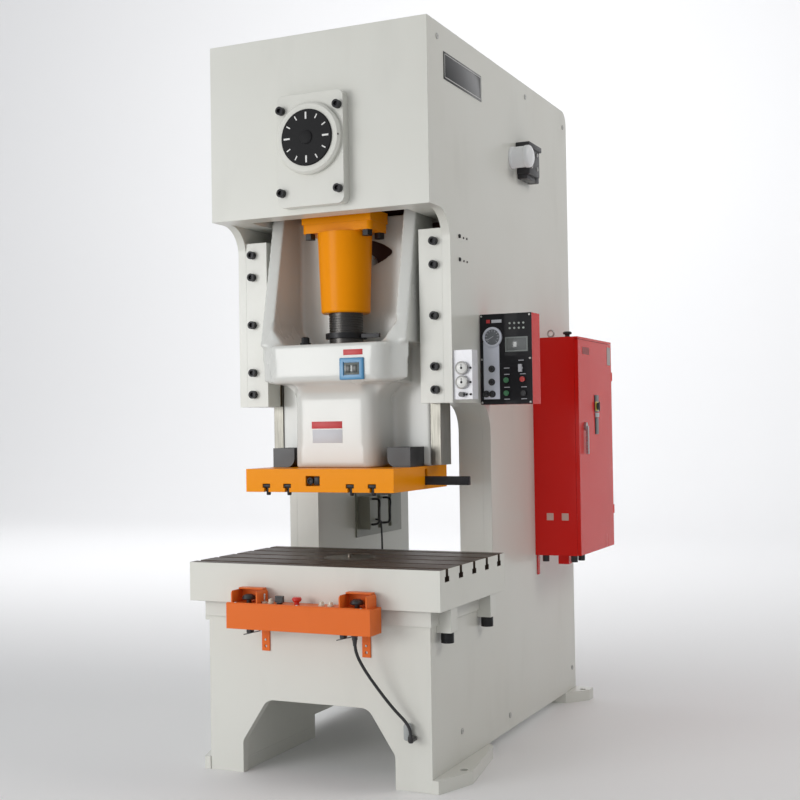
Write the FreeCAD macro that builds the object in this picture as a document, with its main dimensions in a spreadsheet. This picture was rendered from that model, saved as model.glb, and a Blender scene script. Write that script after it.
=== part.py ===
import FreeCAD
import Part
import math
import os
import re
import Sketcher

# A mechanical stamping press with an open C frame. X runs to the right of the operator, Y to the
# rear and Z up. The origin lies on the floor, in the middle of the four anchor bolts.

SIZES = (
    # frame
    ("total_high", 3200, "floor to the top of the crown"),
    ("half_wide", 530, "middle of the press to the outside of a side plate"),
    ("plate", 40, "side, front and bearing plates"),
    ("wall", 30, "inner walls of the columns"),
    ("crown_front", 1000, "forward reach of the crown"),
    ("base_inset", 49, "step of the base's front behind the table's front"),
    ("base_front", "=ram + table_deep / 2 - base_inset", "forward reach of the base"),
    ("back", 925, "rearward reach of the side plates"),
    ("ram", 733, "forward distance of the slide's centre line"),
    ("crown_under", 2415, "underside of the crown"),
    ("cheek_under", 1590, "underside of the cheeks that hold the gibs"),
    ("cheek_front", 780, "forward reach of the cheeks"),
    ("table_gap", 27, "gap between the table and the throat's rear edge"),
    ("throat_back", "=ram - table_deep / 2 - table_gap", "forward distance of the throat's rear edge"),
    ("throat_round", 130, "radius at the top of the throat"),
    ("notch_round", 125, "radius under the crown"),
    ("top_round", 70, "radius at the crown's rear top corner"),
    ("arch_half", 364, "half width of the arch in the base"),
    ("arch_high", 323, "height of the arch"),
    ("foot_high", 55, "thickness of the feet"),
    ("anchor_out", 58, "anchor bolts, outside the side plates"),
    ("anchor_x", "=half_wide + anchor_out", "anchor bolts, left and right"),
    ("anchor_y", 865, "anchor bolts, front and rear"),
    ("anchor_hole", 17, "radius of the anchor holes"),
    ("inner_half", 372, "half the clear width between the columns"),
    # bed and table
    ("bed_under", 674, "underside of the bed plate"),
    ("bed_top", 742, "top of the bed plate"),
    ("table_over", 67, "overhang of the table beyond a side plate"),
    ("table_half", "=half_wide + table_over", "half width of the table"),
    ("table_deep", 752, "table, front to rear"),
    ("table_thick", 168, "thickness of the table"),
    ("slot_pitch", 152, "spacing of the table's T-slots"),
    ("slot_neck", 28, "T-slot width at the top"),
    ("slot_head", 48, "T-slot width at the bottom"),
    ("slot_head_high", 22, "height of the wide part of a T-slot"),
    ("slot_deep", 52, "depth of a T-slot"),
    ("insert", 115, "radius of the table's centre insert"),
    ("lug_long", 70, "table clamp lugs, front to rear"),
    # slide and its guides
    ("guide_half", 381, "half the clear width between the cheeks"),
    ("rail_in", 373, "inner side of a slide rail"),
    ("rail_out", 421, "outer side of a slide rail"),
    ("rail_front", 73, "distance of the rails' front behind the ram line"),
    ("rail_thick", 115, "slide rails, front to rear"),
    ("rail_low", 1319, "lower end of the rails"),
    ("rail_high", 2250, "upper end of the rails"),
    ("liner", 9.7, "bronze liners of the gibs"),
    ("slip", 0.3, "gap between a rail and its liner"),
    ("slide_low", 1215, "underside of the slide plate, slide down"),
    ("slide_plate_high", 100, "thickness of the slide plate"),
    ("slide_plate_half", 357, "half width of the slide plate"),
    ("slide_plate_half_deep", 287, "half depth of the slide plate"),
    ("neck_half", 195, "half width of the slide's neck"),
    ("block_half", 290, "half width of the slide's upper block"),
    ("block_low", 1685, "underside of the upper block"),
    ("block_high", 1855, "top of the upper block"),
    ("shank", 32.5, "radius of the shank hole"),
    ("shank_deep", 80, "depth of the shank hole"),
    ("under_slot_neck", 22, "slide T-slot width at its mouth"),
    ("under_slot_head", 38, "slide T-slot width inside"),
    # crank drive
    ("crank_high", 2727, "height of the crankshaft"),
    ("throw", 80, "offset of the crank pin, half the stroke"),
    ("journal", 90, "radius of the crankshaft's journals"),
    ("pin", 105, "radius of the crank pin"),
    ("bush", 20, "wall of the bronze bushes"),
    ("run_gap", 0.05, "running clearance of a shaft in its bush"),
    ("rod_half", 172, "half width of the connecting rod's flange"),
    ("rod_half_deep", 88, "half depth of the connecting rod's big end"),
    ("rod_eye", 185, "outer radius of the connecting rod's eye"),
    ("barrel_top", 123, "radius of the rod's barrel at its flange"),
    ("barrel_low", 110, "radius of the rod's barrel at its mouth"),
    ("barrel_mouth", 2000, "lower end of the rod's barrel"),
    ("screw", 76, "radius of the adjusting screw"),
    ("ball", 95, "radius of the screw's ball end"),
    ("ball_high", 1782, "height of the ball's centre"),
    ("ball_play", 20, "room that is left below the ball"),
    ("tooth_module", 8.4, "module of the gears"),
    ("gear_teeth", 100, "teeth of the main gear"),
    ("pinion_teeth", 16, "teeth of the pinion"),
    ("gear_thick", 140, "face width of the gears"),
    ("shaft", 55, "radius of the drive shaft"),
    ("flywheel_round", 430, "radius of the flywheel"),
    ("belt_seat", 418, "radius under the belts on the flywheel"),
    ("pulley_seat", 78, "radius under the belts on the motor pulley"),
    ("motor_high", 2900, "height of the motor shaft"),
    ("motor_round", 150, "radius of the motor"),
    # cover and dial
    ("cover_half", 160, "half width of the bearing cover"),
    ("cover_low", 2440, "lower edge of the bearing cover"),
    ("cover_high", 2925, "upper edge of the bearing cover"),
    ("cover_thick", 50, "thickness of the bearing cover"),
    ("dial", 121, "radius of the crank angle dial"),
    # fittings on the right side
    ("console_half", 338, "half width of the two-hand console"),
    ("console_low", 650, "underside of the console"),
    ("console_high", 106, "height of the console"),
    ("console_deep", 105, "console, front to rear"),
    ("console_gap", 11, "gap between the console and the table"),
    ("panel_wide", 243, "width of the control panel"),
    ("panel_low", 1583, "lower edge of the control panel"),
    ("panel_tall", 407, "height of the control panel"),
    ("panel_front", 449, "forward distance of the control panel's face"),
    ("panel_deep", 115, "depth of the control panel"),
    ("cabinet_out", 238, "projection of the electrical cabinet"),
    ("cabinet_front", 283, "rearward distance of the cabinet's front"),
    ("cabinet_long", 617, "cabinet, front to rear"),
    ("cabinet_low", 835, "underside of the cabinet"),
    ("cabinet_tall", 1090, "height of the cabinet"),
    ("cable_round", 6.5, "radius of the console cable"),
)

doc = FreeCAD.newDocument("StampingPress")
Vector = FreeCAD.Vector
sheet = doc.addObject("Spreadsheet::Sheet", "Sizes")
for row, (alias, value, meaning) in enumerate(SIZES, start=1):
    sheet.set(f"A{row}", meaning)
    sheet.setAlias(f"B{row}", alias)
for row, (alias, value, meaning) in enumerate(SIZES, start=1):
    sheet.set(f"B{row}", str(value))
doc.recompute()

ALIASES = re.compile(r"\b(" + "|".join(alias for alias, _, _ in SIZES) + r")\b")
NODES = {}

# Places that several pieces share.
INSIDE = "(half_wide - plate)"
CROWN_BACK_OF_FRONT = "(-crown_front + plate)"
TABLE_TOP = "(bed_top + table_thick)"
TABLE_FRONT = "(-ram - table_deep / 2)"
RAIL_FRONT = "(-ram + rail_front)"
RAIL_BACK = "(-ram + rail_front + rail_thick)"
GROOVE_FRONT = "(-ram + rail_front - liner - slip)"
GROOVE_BACK = "(-ram + rail_front + rail_thick + liner + slip)"
WEB_FRONT = "(-ram + 133)"
WEB_BACK = "(-ram + 168)"
GIB_TOP = "(crown_under - 71)"
BEARING_FRONT = "(-ram + 228)"
BEARING_BACK = "(-ram + 228 + plate)"
GEAR_FRONT = "(-ram + 298)"
GEAR_BACK = "(-ram + 298 + gear_thick)"
DRIVE_FRONT = "235"
DRIVE_BACK = "265"
PIN_HIGH = "(crank_high - throw)"
PINION_HIGH = "(crank_high - tooth_module * (gear_teeth + pinion_teeth) / 2)"
BELT_FRONT = "560"
BELT_BACK = "630"
CONSOLE_BACK = f"({TABLE_FRONT} - console_gap)"
CONSOLE_FRONT = f"({CONSOLE_BACK} - console_deep)"
CONSOLE_TOP = "(console_low + console_high)"
PANEL_RIGHT = "(half_wide + 3 + panel_wide)"
CABINET_RIGHT = "(half_wide + cabinet_out)"

TURNS = {
    "X": FreeCAD.Rotation(Vector(0, 1, 0), 90),
    "Y": FreeCAD.Rotation(Vector(1, 0, 0), -90),
    "Z": FreeCAD.Rotation(),
}


def number(text):
    return float(sheet.evalExpression(str(text)))


def bind(obj, prop, text):
    obj.setExpression(prop, ALIASES.sub(r"Sizes.\1", str(text)))


def place(obj, x, y, z, along="Z"):
    obj.Placement = FreeCAD.Placement(Vector(number(x), number(y), number(z)), TURNS[along])
    for axis, text in zip("xyz", (x, y, z)):
        bind(obj, f"Placement.Base.{axis}", text)


def block(name, x_span, y_span, z_span):
    obj = doc.addObject("Part::Box", name)
    for prop, span in zip(("Length", "Width", "Height"), (x_span, y_span, z_span)):
        bind(obj, prop, f"({span[1]}) - ({span[0]})")
    place(obj, x_span[0], y_span[0], z_span[0])
    return obj


def drum(name, radius, span, centre, along):
    """A cylinder from one end of span to the other; centre holds its two other coordinates."""
    obj = doc.addObject("Part::Cylinder", name)
    bind(obj, "Radius", radius)
    bind(obj, "Height", f"({span[1]}) - ({span[0]})")
    spots = list(centre)
    spots.insert("XYZ".index(along), span[0])
    place(obj, *spots, along)
    return obj


def ball(name, radius, x, y, z):
    obj = doc.addObject("Part::Sphere", name)
    bind(obj, "Radius", radius)
    place(obj, x, y, z)
    return obj


def hexagon(name, across, span, centre, along):
    obj = doc.addObject("Part::Prism", name)
    obj.Polygon = 6
    bind(obj, "Circumradius", f"({across}) / 1.7320508")
    bind(obj, "Height", f"({span[1]}) - ({span[0]})")
    spots = list(centre)
    spots.insert("XYZ".index(along), span[0])
    place(obj, *spots, along)
    return obj


def join(name, *pieces):
    obj = doc.addObject("Part::MultiFuse", name)
    obj.Shapes = list(pieces)
    obj.Refine = True
    return obj


def group(name, *pieces):
    obj = doc.addObject("Part::Compound", name)
    obj.Links = list(pieces)
    return obj


def cut(name, base, *tools):
    obj = doc.addObject("Part::Cut", name)
    obj.Base = base
    obj.Tool = tools[0] if len(tools) == 1 else join(name + "Tools", *tools)
    obj.Refine = True
    return obj


def common(name, first, second):
    obj = doc.addObject("Part::Common", name)
    obj.Base = first
    obj.Tool = second
    return obj


def mirrored(name, source):
    obj = doc.addObject("Part::Mirroring", name)
    obj.Source = source
    obj.Normal = Vector(1, 0, 0)
    return obj


def both_sides(name, right):
    return group(name, right, mirrored(name + "Left", right))


def outline(body, role, points, offset):
    """A closed outline of straight sides, each corner held by its two distances."""
    sketch = body.newObject("Sketcher::SketchObject", body.Name + "Outline")
    base = next(f for f in body.Origin.OriginFeatures if f.Role == role)
    sketch.AttachmentSupport = [(base, "")]
    sketch.MapMode = "FlatFace"
    if offset is not None:
        bind(sketch, "AttachmentOffset.Base.z", offset)
    places = [Vector(number(h), number(v), 0) for h, v in points]
    for i, start in enumerate(places):
        sketch.addGeometry(Part.LineSegment(start, places[(i + 1) % len(places)]), False)
    for i in range(len(places)):
        sketch.addConstraint(Sketcher.Constraint("Coincident", i, 2, (i + 1) % len(places), 1))
    for i, (corner, spot) in enumerate(zip(points, places)):
        for kind, text, value in zip(("DistanceX", "DistanceY"), corner, (spot.x, spot.y)):
            index = sketch.addConstraint(Sketcher.Constraint(kind, -1, 1, i, 1, value))
            bind(sketch, f"Constraints[{index}]", text)
    return sketch


def prism(name, role, points, start, end):
    """A plate with a drawn outline, from start to end along the axis across its plane."""
    body = doc.addObject("PartDesign::Body", name)
    offset = f"-({end})" if role == "XZ_Plane" else start
    sketch = outline(body, role, points, offset)
    pad = body.newObject("PartDesign::Pad", name + "Pad")
    pad.Profile = sketch
    bind(pad, "Length", f"({end}) - ({start})")
    sketch.Visibility = False
    doc.recompute()
    return body


def turned(name, points, x, y, z, along):
    """A body of revolution from (radius, height) points, its axis laid along X, Y or Z."""
    body = doc.addObject("PartDesign::Body", name)
    sketch = outline(body, "XZ_Plane", points, None)
    turn = body.newObject("PartDesign::Revolution", name + "Turn")
    turn.Profile = sketch
    turn.ReferenceAxis = (sketch, ["V_Axis"])
    turn.Angle = 360
    place(body, x, y, z, along)
    doc.recompute()
    return body


def soften(body, axis, spots, radius):
    """Round the edges that run along one axis at the given places across it."""
    tip = body.Tip
    keep = [i for i in range(3) if "XYZ"[i] != axis]
    wanted = [(number(a), number(b)) for a, b in spots]
    names = []
    for i, edge in enumerate(tip.Shape.Edges, start=1):
        if len(edge.Vertexes) != 2:
            continue
        ends = [vertex.Point for vertex in edge.Vertexes]
        if any(abs(ends[0][k] - ends[1][k]) > 0.01 for k in keep):
            continue
        if any(all(abs(ends[0][k] - w) < 0.01 for k, w in zip(keep, spot)) for spot in wanted):
            names.append(f"Edge{i}")
    fillet = body.newObject("PartDesign::Fillet", f"{body.Name}Round{len(body.Group)}")
    fillet.Base = (tip, names)
    bind(fillet, "Radius", radius)
    doc.recompute()
    return body


def node(label, obj):
    obj.Label = label
    NODES[label] = obj
    return obj


# ---------------------------------------------------------------- frame


def side_plate():
    """C-shaped plate: base, throat, cheek and crown in one piece."""
    bed_back = "(-throat_back)"
    body = prism("SidePlate", "YZ_Plane", [
        ("-base_front + plate", "foot_high"),
        ("-base_front + plate", "bed_under"),
        (bed_back, "bed_under"),
        (bed_back, "cheek_under"),
        ("-cheek_front", "cheek_under"),
        ("-cheek_front", "crown_under"),
        (CROWN_BACK_OF_FRONT, "crown_under"),
        (CROWN_BACK_OF_FRONT, "total_high"),
        ("back", "total_high"),
        ("back", "foot_high"),
    ], INSIDE, "half_wide")
    soften(body, "X", [(bed_back, "cheek_under")], "throat_round")
    soften(body, "X", [("-cheek_front", "crown_under")], "notch_round")
    soften(body, "X", [("back", "total_high")], "top_round")
    node("side_plates", both_sides("SidePlates", body))


def column_boxes():
    """Inner wall and front closing plate, welded inside each side plate."""
    inner_back = "(inner_half + wall)"
    wall = prism("ColumnWall", "YZ_Plane", [
        ("-base_front + plate", "foot_high"),
        ("-base_front + 665", "foot_high"),
        ("-base_front + 665", "foot_high + 245"),
        ("back - 190", "foot_high + 245"),
        ("back - 190", "1750"),
        ("back - 510", "1750"),
        ("back - 510", "crown_under"),
        (BEARING_BACK, "crown_under"),
        (BEARING_BACK, "cheek_under"),
        ("-throat_back", "cheek_under"),
        ("-throat_back", "bed_under"),
        ("-base_front + plate", "bed_under"),
    ], "inner_half", inner_back)
    soften(wall, "X", [("-throat_back", "cheek_under")], "throat_round")
    closing = prism("ColumnFront", "YZ_Plane", [
        ("-throat_back", "bed_under"),
        ("-throat_back", "cheek_under"),
        (BEARING_BACK, "cheek_under"),
        (BEARING_BACK, "cheek_under + wall"),
        ("-throat_back + wall", "cheek_under + wall"),
        ("-throat_back + wall", "bed_under"),
    ], inner_back, INSIDE)
    soften(closing, "X", [("-throat_back", "cheek_under")], "throat_round")
    soften(closing, "X", [("-throat_back + wall", "cheek_under + wall")], "throat_round + wall")
    tie = block("BaseTie", ("-inner_half", "inner_half"), ("-throat_back", "-throat_back + plate"),
                ("foot_high + 295", "bed_under"))
    node("column_boxes", group("Columns", both_sides("ColumnBoxes", group("ColumnBox", wall, closing)), tie))


def gib_housings():
    """Cheek blocks with the groove that the slide's rails run in."""
    housing = prism("GibHousing", "XY_Plane", [
        ("guide_half", "-cheek_front"),
        (INSIDE, "-cheek_front"),
        (INSIDE, BEARING_BACK),
        ("guide_half", BEARING_BACK),
        ("guide_half", GROOVE_BACK),
        ("rail_out + 10", GROOVE_BACK),
        ("rail_out + 10", GROOVE_FRONT),
        ("guide_half", GROOVE_FRONT),
    ], "cheek_under", GIB_TOP)
    node("gib_housings", both_sides("GibHousings", housing))


def crown_plates():
    """Front, top and bearing plates of the crown, and its deck of four bars round the rod's well."""
    front = block("CrownFront", ("-half_wide", "half_wide"), ("-crown_front", CROWN_BACK_OF_FRONT),
                  ("crown_under", "total_high"))
    seat = drum("CrownFrontBore", "journal + bush", ("-crown_front - 1", f"{CROWN_BACK_OF_FRONT} + 1"),
                ("0", "crank_high"), "Y")
    node("front_plates", group("FrontPlates", cut("CrownFrontPlate", front, seat), base_front_plate()))

    top = block("CrownTop", (f"-{INSIDE}", INSIDE), (CROWN_BACK_OF_FRONT, "back - top_round"),
                ("total_high - plate", "total_high"))
    well_front, well_back = "(-ram - 167)", "(-ram + 213)"
    thick = ("crown_under", "crown_under + wall")
    across = (f"-{INSIDE}", INSIDE)
    deck_front = block("DeckFront", across, (CROWN_BACK_OF_FRONT, well_front), thick)
    deck_rear = block("DeckRear", across, (well_back, BEARING_FRONT), thick)
    deck_side = block("DeckSide", ("guide_half + 4", INSIDE), (well_front, well_back), thick)
    node("crown_decks", group("CrownDecks", top, deck_front, deck_rear, both_sides("DeckSides", deck_side)))

    web = prism("BearingSheet", "XZ_Plane", [
        ("-guide_half", f"{PINION_HIGH} - shaft - 70"),
        ("guide_half", f"{PINION_HIGH} - shaft - 70"),
        ("guide_half", "crown_under"),
        (INSIDE, "crown_under"),
        (INSIDE, "total_high - plate"),
        (f"-{INSIDE}", "total_high - plate"),
        (f"-{INSIDE}", "crown_under"),
        ("-guide_half", "crown_under"),
    ], BEARING_FRONT, BEARING_BACK)
    through = (f"{BEARING_FRONT} - 1", f"{BEARING_BACK} + 1")
    main_seat = drum("BearingBore", "journal + bush", through, ("0", "crank_high"), "Y")
    shaft_seat = drum("ShaftBore", "shaft + run_gap", through, ("0", PINION_HIGH), "Y")
    bearing = cut("BearingPlate", web, main_seat, shaft_seat)
    node("bearing_plates", group("BearingPlates", bearing, drive_plate()))


def drive_plate():
    """Rear bearing plate of the drive shaft, with the shelf that carries the motor."""
    web = prism("DriveSheet", "XZ_Plane", [
        ("-inner_half", f"{PINION_HIGH} - 210"),
        ("inner_half", f"{PINION_HIGH} - 210"),
        ("inner_half", "crown_under"),
        (INSIDE, "crown_under"),
        (INSIDE, "total_high - plate"),
        (f"-{INSIDE}", "total_high - plate"),
        (f"-{INSIDE}", "crown_under"),
        ("-inner_half", "crown_under"),
    ], DRIVE_FRONT, DRIVE_BACK)
    bore = drum("DriveBore", "shaft + run_gap", (f"{DRIVE_FRONT} - 1", f"{DRIVE_BACK} + 1"),
                ("0", PINION_HIGH), "Y")
    shelf = block("MotorShelf", ("-200", "200"), (DRIVE_BACK, "545"),
                  ("motor_high - motor_round - 25", "motor_high - motor_round - 5"))
    return cut("DrivePlate", join("DriveWeldment", web, shelf), bore)


def rear_guard():
    """Sheet cover that closes the drive behind, with cooling slots."""
    half = f"{INSIDE} - 2"
    sheet_metal = block("GuardSheet", (f"-({half})", half), ("back - 25", "back - 19"),
                        ("1700", "total_high - 90"))
    slots = [block(f"GuardSlot{i}", ("-260", "260"), ("back - 26", "back - 18"),
                   (f"{1830 + 60 * i}", f"{1830 + 60 * i} + 14")) for i in range(8)]
    straps = []
    for i, (side, low) in enumerate((("-1", "1760"), ("-1", "2900"), ("1", "1760"), ("1", "2900"))):
        span = (f"{INSIDE} - 32", INSIDE) if side == "1" else (f"-{INSIDE}", f"-{INSIDE} + 32")
        straps.append(block(f"GuardTab{i}", span, ("back - 45", "back - 25"), (low, f"{low} + 60")))
    node("rear_guard", join("RearGuard", cut("GuardSlotted", sheet_metal, *slots), *straps))


def base_front_plate():
    """Front plate of the base, cut out in an arch above the floor."""
    arch_corner = "arch_high - 185"
    front = prism("BaseSheet", "XZ_Plane", [
        ("-half_wide", "0"),
        ("-arch_half", "0"),
        ("-arch_half", arch_corner),
        ("-arch_half + 122", "arch_high"),
        ("arch_half - 122", "arch_high"),
        ("arch_half", arch_corner),
        ("arch_half", "0"),
        ("half_wide", "0"),
        ("half_wide", "bed_under"),
        ("-half_wide", "bed_under"),
    ], "-base_front", "-base_front + plate")
    soften(front, "Y", [("-arch_half + 122", "arch_high"), ("arch_half - 122", "arch_high")], "60")
    soften(front, "Y", [("-arch_half", arch_corner), ("arch_half", arch_corner)], "40")
    return front


def bed_plate():
    """Plate on the base that the table stands on, with the scrap hole under the ram."""
    bed = block("BedSheet", ("-half_wide - 10", "half_wide + 10"), ("-base_front - 15", "-throat_back - 10"),
                ("bed_under", "bed_top"))
    scrap = drum("ScrapHole", "insert - 15", ("bed_under - 1", "bed_top + 1"), ("0", "-ram"), "Z")
    node("bed_plate", cut("BedPlate", bed, scrap))


def feet():
    """Four floor pads whose flanges reach outside the side plates for the anchor bolts."""
    front = prism("FootFront", "XY_Plane", [
        ("inner_half", "-base_front + plate"),
        ("half_wide", "-base_front + plate"),
        ("half_wide", "-base_front - 5"),
        ("anchor_x - 30", "-base_front - 5"),
        ("anchor_x + 40", "-anchor_y"),
        ("half_wide + 31", "-anchor_y + 417"),
        ("half_wide", "-anchor_y + 455"),
        ("inner_half", "-anchor_y + 470"),
    ], "0", "foot_high")
    rear = prism("FootRear", "XY_Plane", [
        ("inner_half", "anchor_y - 140"),
        ("half_wide", "anchor_y - 120"),
        ("half_wide + 38", "anchor_y - 79"),
        ("anchor_x + 37", "anchor_y"),
        ("anchor_x + 37", "back + 10"),
        ("inner_half", "back + 10"),
    ], "0", "foot_high")
    holes = [drum(f"AnchorHole{i}", "anchor_hole", ("-1", "foot_high + 1"), ("anchor_x", y), "Z")
             for i, y in enumerate(("-anchor_y", "anchor_y"))]
    drilled = [cut("FootFrontDrilled", front, holes[0]), cut("FootRearDrilled", rear, holes[1])]
    node("feet", both_sides("Feet", group("FeetRight", *drilled)))


def table():
    """Bolster table with five T-slots from side to side and a round centre hole."""
    slab = block("TableSlab", ("-table_half", "table_half"), (TABLE_FRONT, f"{TABLE_FRONT} + table_deep"),
                 ("bed_top", TABLE_TOP))
    tools = [drum("TableHole", "insert", ("bed_top - 1", f"{TABLE_TOP} + 1"), ("0", "-ram"), "Z")]
    ends = ("-table_half - 1", "table_half + 1")
    for i in range(-2, 3):
        middle = f"(-ram + {i} * slot_pitch)"
        floor = f"{TABLE_TOP} - slot_deep"
        tools.append(block(f"TableNeck{i + 2}", ends,
                           (f"{middle} - slot_neck / 2", f"{middle} + slot_neck / 2"),
                           (floor, f"{TABLE_TOP} + 1")))
        tools.append(block(f"TableHead{i + 2}", ends,
                           (f"{middle} - slot_head / 2", f"{middle} + slot_head / 2"),
                           (floor, f"{floor} + slot_head_high")))
    node("bolster_table", cut("BolsterTable", slab, *tools))

    plug = drum("InsertPlug", "insert - slip", ("bed_top", TABLE_TOP), ("0", "-ram"), "Z")
    hollow = drum("InsertHollow", "insert - 30", ("bed_top - 1", f"{TABLE_TOP} - 60"), ("0", "-ram"), "Z")
    stud = drum("InsertStud", "9", (TABLE_TOP, f"{TABLE_TOP} + 16"), ("0", "-ram"), "Z")
    node("bolster_insert", join("BolsterInsert", cut("InsertCup", plug, hollow), stud))


def table_clamps():
    """Lugs under the table's overhang, each with its clamp bolt."""
    lugs, bolts = [], []
    for i, front in enumerate((f"{TABLE_FRONT} + 114", f"{TABLE_FRONT} + 574")):
        long = (front, f"{front} + lug_long")
        lugs.append(block(f"ClampLug{i}", ("half_wide", "table_half - 4"), long,
                          ("bed_under - 32", "bed_under")))
        lugs.append(block(f"ClampLugTop{i}", ("half_wide + 10", "table_half - 4"), long,
                          ("bed_under", "bed_top")))
        centre = ("half_wide + 33", f"{front} + lug_long / 2")
        bolts.append(drum(f"ClampHead{i}", "27", ("bed_under - 76", "bed_under - 32"), centre, "Z"))
    right = group("LugsRight", join("LugFront", *lugs[:2]), join("LugRear", *lugs[2:]))
    node("table_lugs", both_sides("TableLugs", right))
    return both_sides("LugBolts", group("LugBoltsRight", *bolts))


# ---------------------------------------------------------------- bearing cover and bolts


def bearing_cover():
    """Front bearing cover with its round boss, and the dial that shows the crank angle."""
    front = "(-crown_front - cover_thick)"
    boss_front = f"({front} - 27)"
    flange = prism("CoverPlate", "XZ_Plane", [
        ("-cover_half", "cover_low"), ("cover_half", "cover_low"),
        ("cover_half", "cover_high"), ("-cover_half", "cover_high"),
    ], front, "-crown_front")
    corners = [(x, z) for x in ("-cover_half", "cover_half") for z in ("cover_low", "cover_high")]
    soften(flange, "Y", corners, "30")
    boss = turned("CoverBoss", [
        ("0", "0"), ("dial + 24", "0"), ("dial + 34", "10"), ("dial + 34", "28"), ("0", "28"),
    ], "0", boss_front, "crank_high", "Y")
    bore = drum("CoverBore", "25", (f"{boss_front} - 1", "-crown_front + 1"), ("0", "crank_high"), "Y")
    node("bearing_cover", cut("BearingCover", join("CoverBody", flange, boss), bore))
    disc = turned("DialDisc", [
        ("20", "0"), ("dial - 3", "0"), ("dial", "3"), ("dial", "7.7"), ("20", "7.7"),
    ], "0", f"{boss_front} - 8", "crank_high", "Y")
    node("angle_dial", disc)


def socket_bolt(name, x, y, z):
    """M24 socket head screw, its axis along Y, head to the front."""
    head = drum(name + "Head", "18", (f"{y} - 24", y), (x, z), "Y")
    socket = hexagon(name + "Socket", "19", (f"{y} - 25", f"{y} - 12"), (x, z), "Y")
    return cut(name, head, socket)


def frame_bolts():
    """Four screws of the bearing cover, ten of the gib housings and four clamp bolts of the table."""
    front = "-crown_front - cover_thick"
    screws = [socket_bolt(f"CoverScrew{i}", x, front, z) for i, (x, z) in enumerate(
        (x, z) for x in ("-137", "137") for z in ("cover_low + 62", "cover_high - 67"))]
    heights = ("cheek_under + 57", "cheek_under + 157", "cheek_under + 376",
               "cheek_under + 596", "cheek_under + 698")
    for i, z in enumerate(heights):
        for side in ("-", ""):
            screws.append(socket_bolt(f"GibScrew{i}{'L' if side else 'R'}", f"{side}(guide_half + 73)",
                                      "-cheek_front", z))
    node("frame_bolts", group("FrameBolts", *screws, table_clamps()))


# ---------------------------------------------------------------- crank drive


def bronze_linings():
    """Bushes of the crankshaft's two journals, and the flat liners of the gib grooves."""
    rings = []
    for i, span in enumerate((("-crown_front", f"{CROWN_BACK_OF_FRONT} + 20"),
                              (BEARING_FRONT, f"{BEARING_BACK}"))):
        outer = drum(f"BushOuter{i}", "journal + bush", span, ("0", "crank_high"), "Y")
        inner = drum(f"BushInner{i}", "journal + run_gap", (f"{span[0]} - 1", f"{span[1]} + 1"),
                     ("0", "crank_high"), "Y")
        rings.append(cut(f"Bush{i}", outer, inner))
    across = ("guide_half + 4", "rail_out + 4")
    tall = ("cheek_under + 10", f"{GIB_TOP} - 10")
    front = block("LinerFront", across, (GROOVE_FRONT, f"{RAIL_FRONT} - slip"), tall)
    rear = block("LinerRear", across, (f"{RAIL_BACK} + slip", GROOVE_BACK), tall)
    liners = both_sides("GibLiners", group("LinersRight", front, rear))
    node("bronze_linings", group("BronzeLinings", *rings, liners))


def crankshaft():
    """Single-throw shaft: spigot, front journal, webs, pin and rear journal."""
    axis = ("0", "crank_high")
    pieces = [
        drum("Spigot", "20", ("-crown_front - cover_thick - 39", "-crown_front + 3"), axis, "Y"),
        drum("JournalFront", "journal", ("-crown_front + 2", "-ram - 92"), axis, "Y"),
        drum("WebFront", "throw + pin + 5", ("-ram - 160", "-ram - 92"), axis, "Y"),
        drum("CrankPin", "pin", ("-ram - 93", "-ram + 93"), ("0", PIN_HIGH), "Y"),
        drum("WebRear", "throw + pin + 5", ("-ram + 92", "-ram + 125"), axis, "Y"),
        drum("JournalRear", "journal", ("-ram + 124", f"{GEAR_BACK} + 20"), axis, "Y"),
    ]
    node("crankshaft", join("Crankshaft", *pieces))


def toothed_wheel(name, teeth, module, bore, lightened, first_angle):
    """A spur wheel with straight-flanked teeth, its axis along Y and its front face at Y = 0."""
    pitch = teeth * module / 2
    tip, root = pitch + 0.7 * module, pitch - 0.95 * module
    step = 2 * math.pi / teeth
    points = []
    for i in range(teeth):
        middle = first_angle + i * step
        for radius, share in ((root, -0.30), (tip, -0.13), (tip, 0.13), (root, 0.30)):
            angle = middle + share * step
            points.append(Vector(radius * math.cos(angle), 0, radius * math.sin(angle)))
    thick = number("gear_thick")
    wheel = Part.Face(Part.makePolygon(points + points[:1])).extrude(Vector(0, thick, 0))
    wheel = wheel.cut(Part.makeCylinder(bore, thick + 2, Vector(0, -1, 0), Vector(0, 1, 0)))
    if lightened:
        for start in (-1, 0.72 * thick):
            ring = Part.makeCylinder(0.86 * root, 0.28 * thick + 1, Vector(0, start, 0), Vector(0, 1, 0))
            hub = Part.makeCylinder(bore + 70, 0.28 * thick + 1, Vector(0, start, 0), Vector(0, 1, 0))
            wheel = wheel.cut(ring.cut(hub))
    obj = doc.addObject("Part::Feature", name)
    obj.Shape = wheel
    return obj


def gears():
    """Main gear on the crankshaft; the pinion stands straight below it."""
    module = number("tooth_module")
    gear_teeth, pinion_teeth = int(number("gear_teeth")), int(number("pinion_teeth"))
    gap_down = -math.pi / 2 + math.pi / gear_teeth
    gear = toothed_wheel("MainGear", gear_teeth, module, number("journal"), True, gap_down)
    place(gear, "0", GEAR_FRONT, "crank_high")
    node("main_gear", gear)

    pinion = toothed_wheel("Pinion", pinion_teeth, module, number("shaft") - 1, False, math.pi / 2)
    place(pinion, "0", GEAR_FRONT, PINION_HIGH)
    span = (f"{BEARING_FRONT} + 1", f"{BELT_BACK} + 62")
    shaft = drum("DriveShaft", "shaft", span, ("0", PINION_HIGH), "Y")
    node("pinion_shaft", join("PinionShaft", pinion, shaft))


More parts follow.
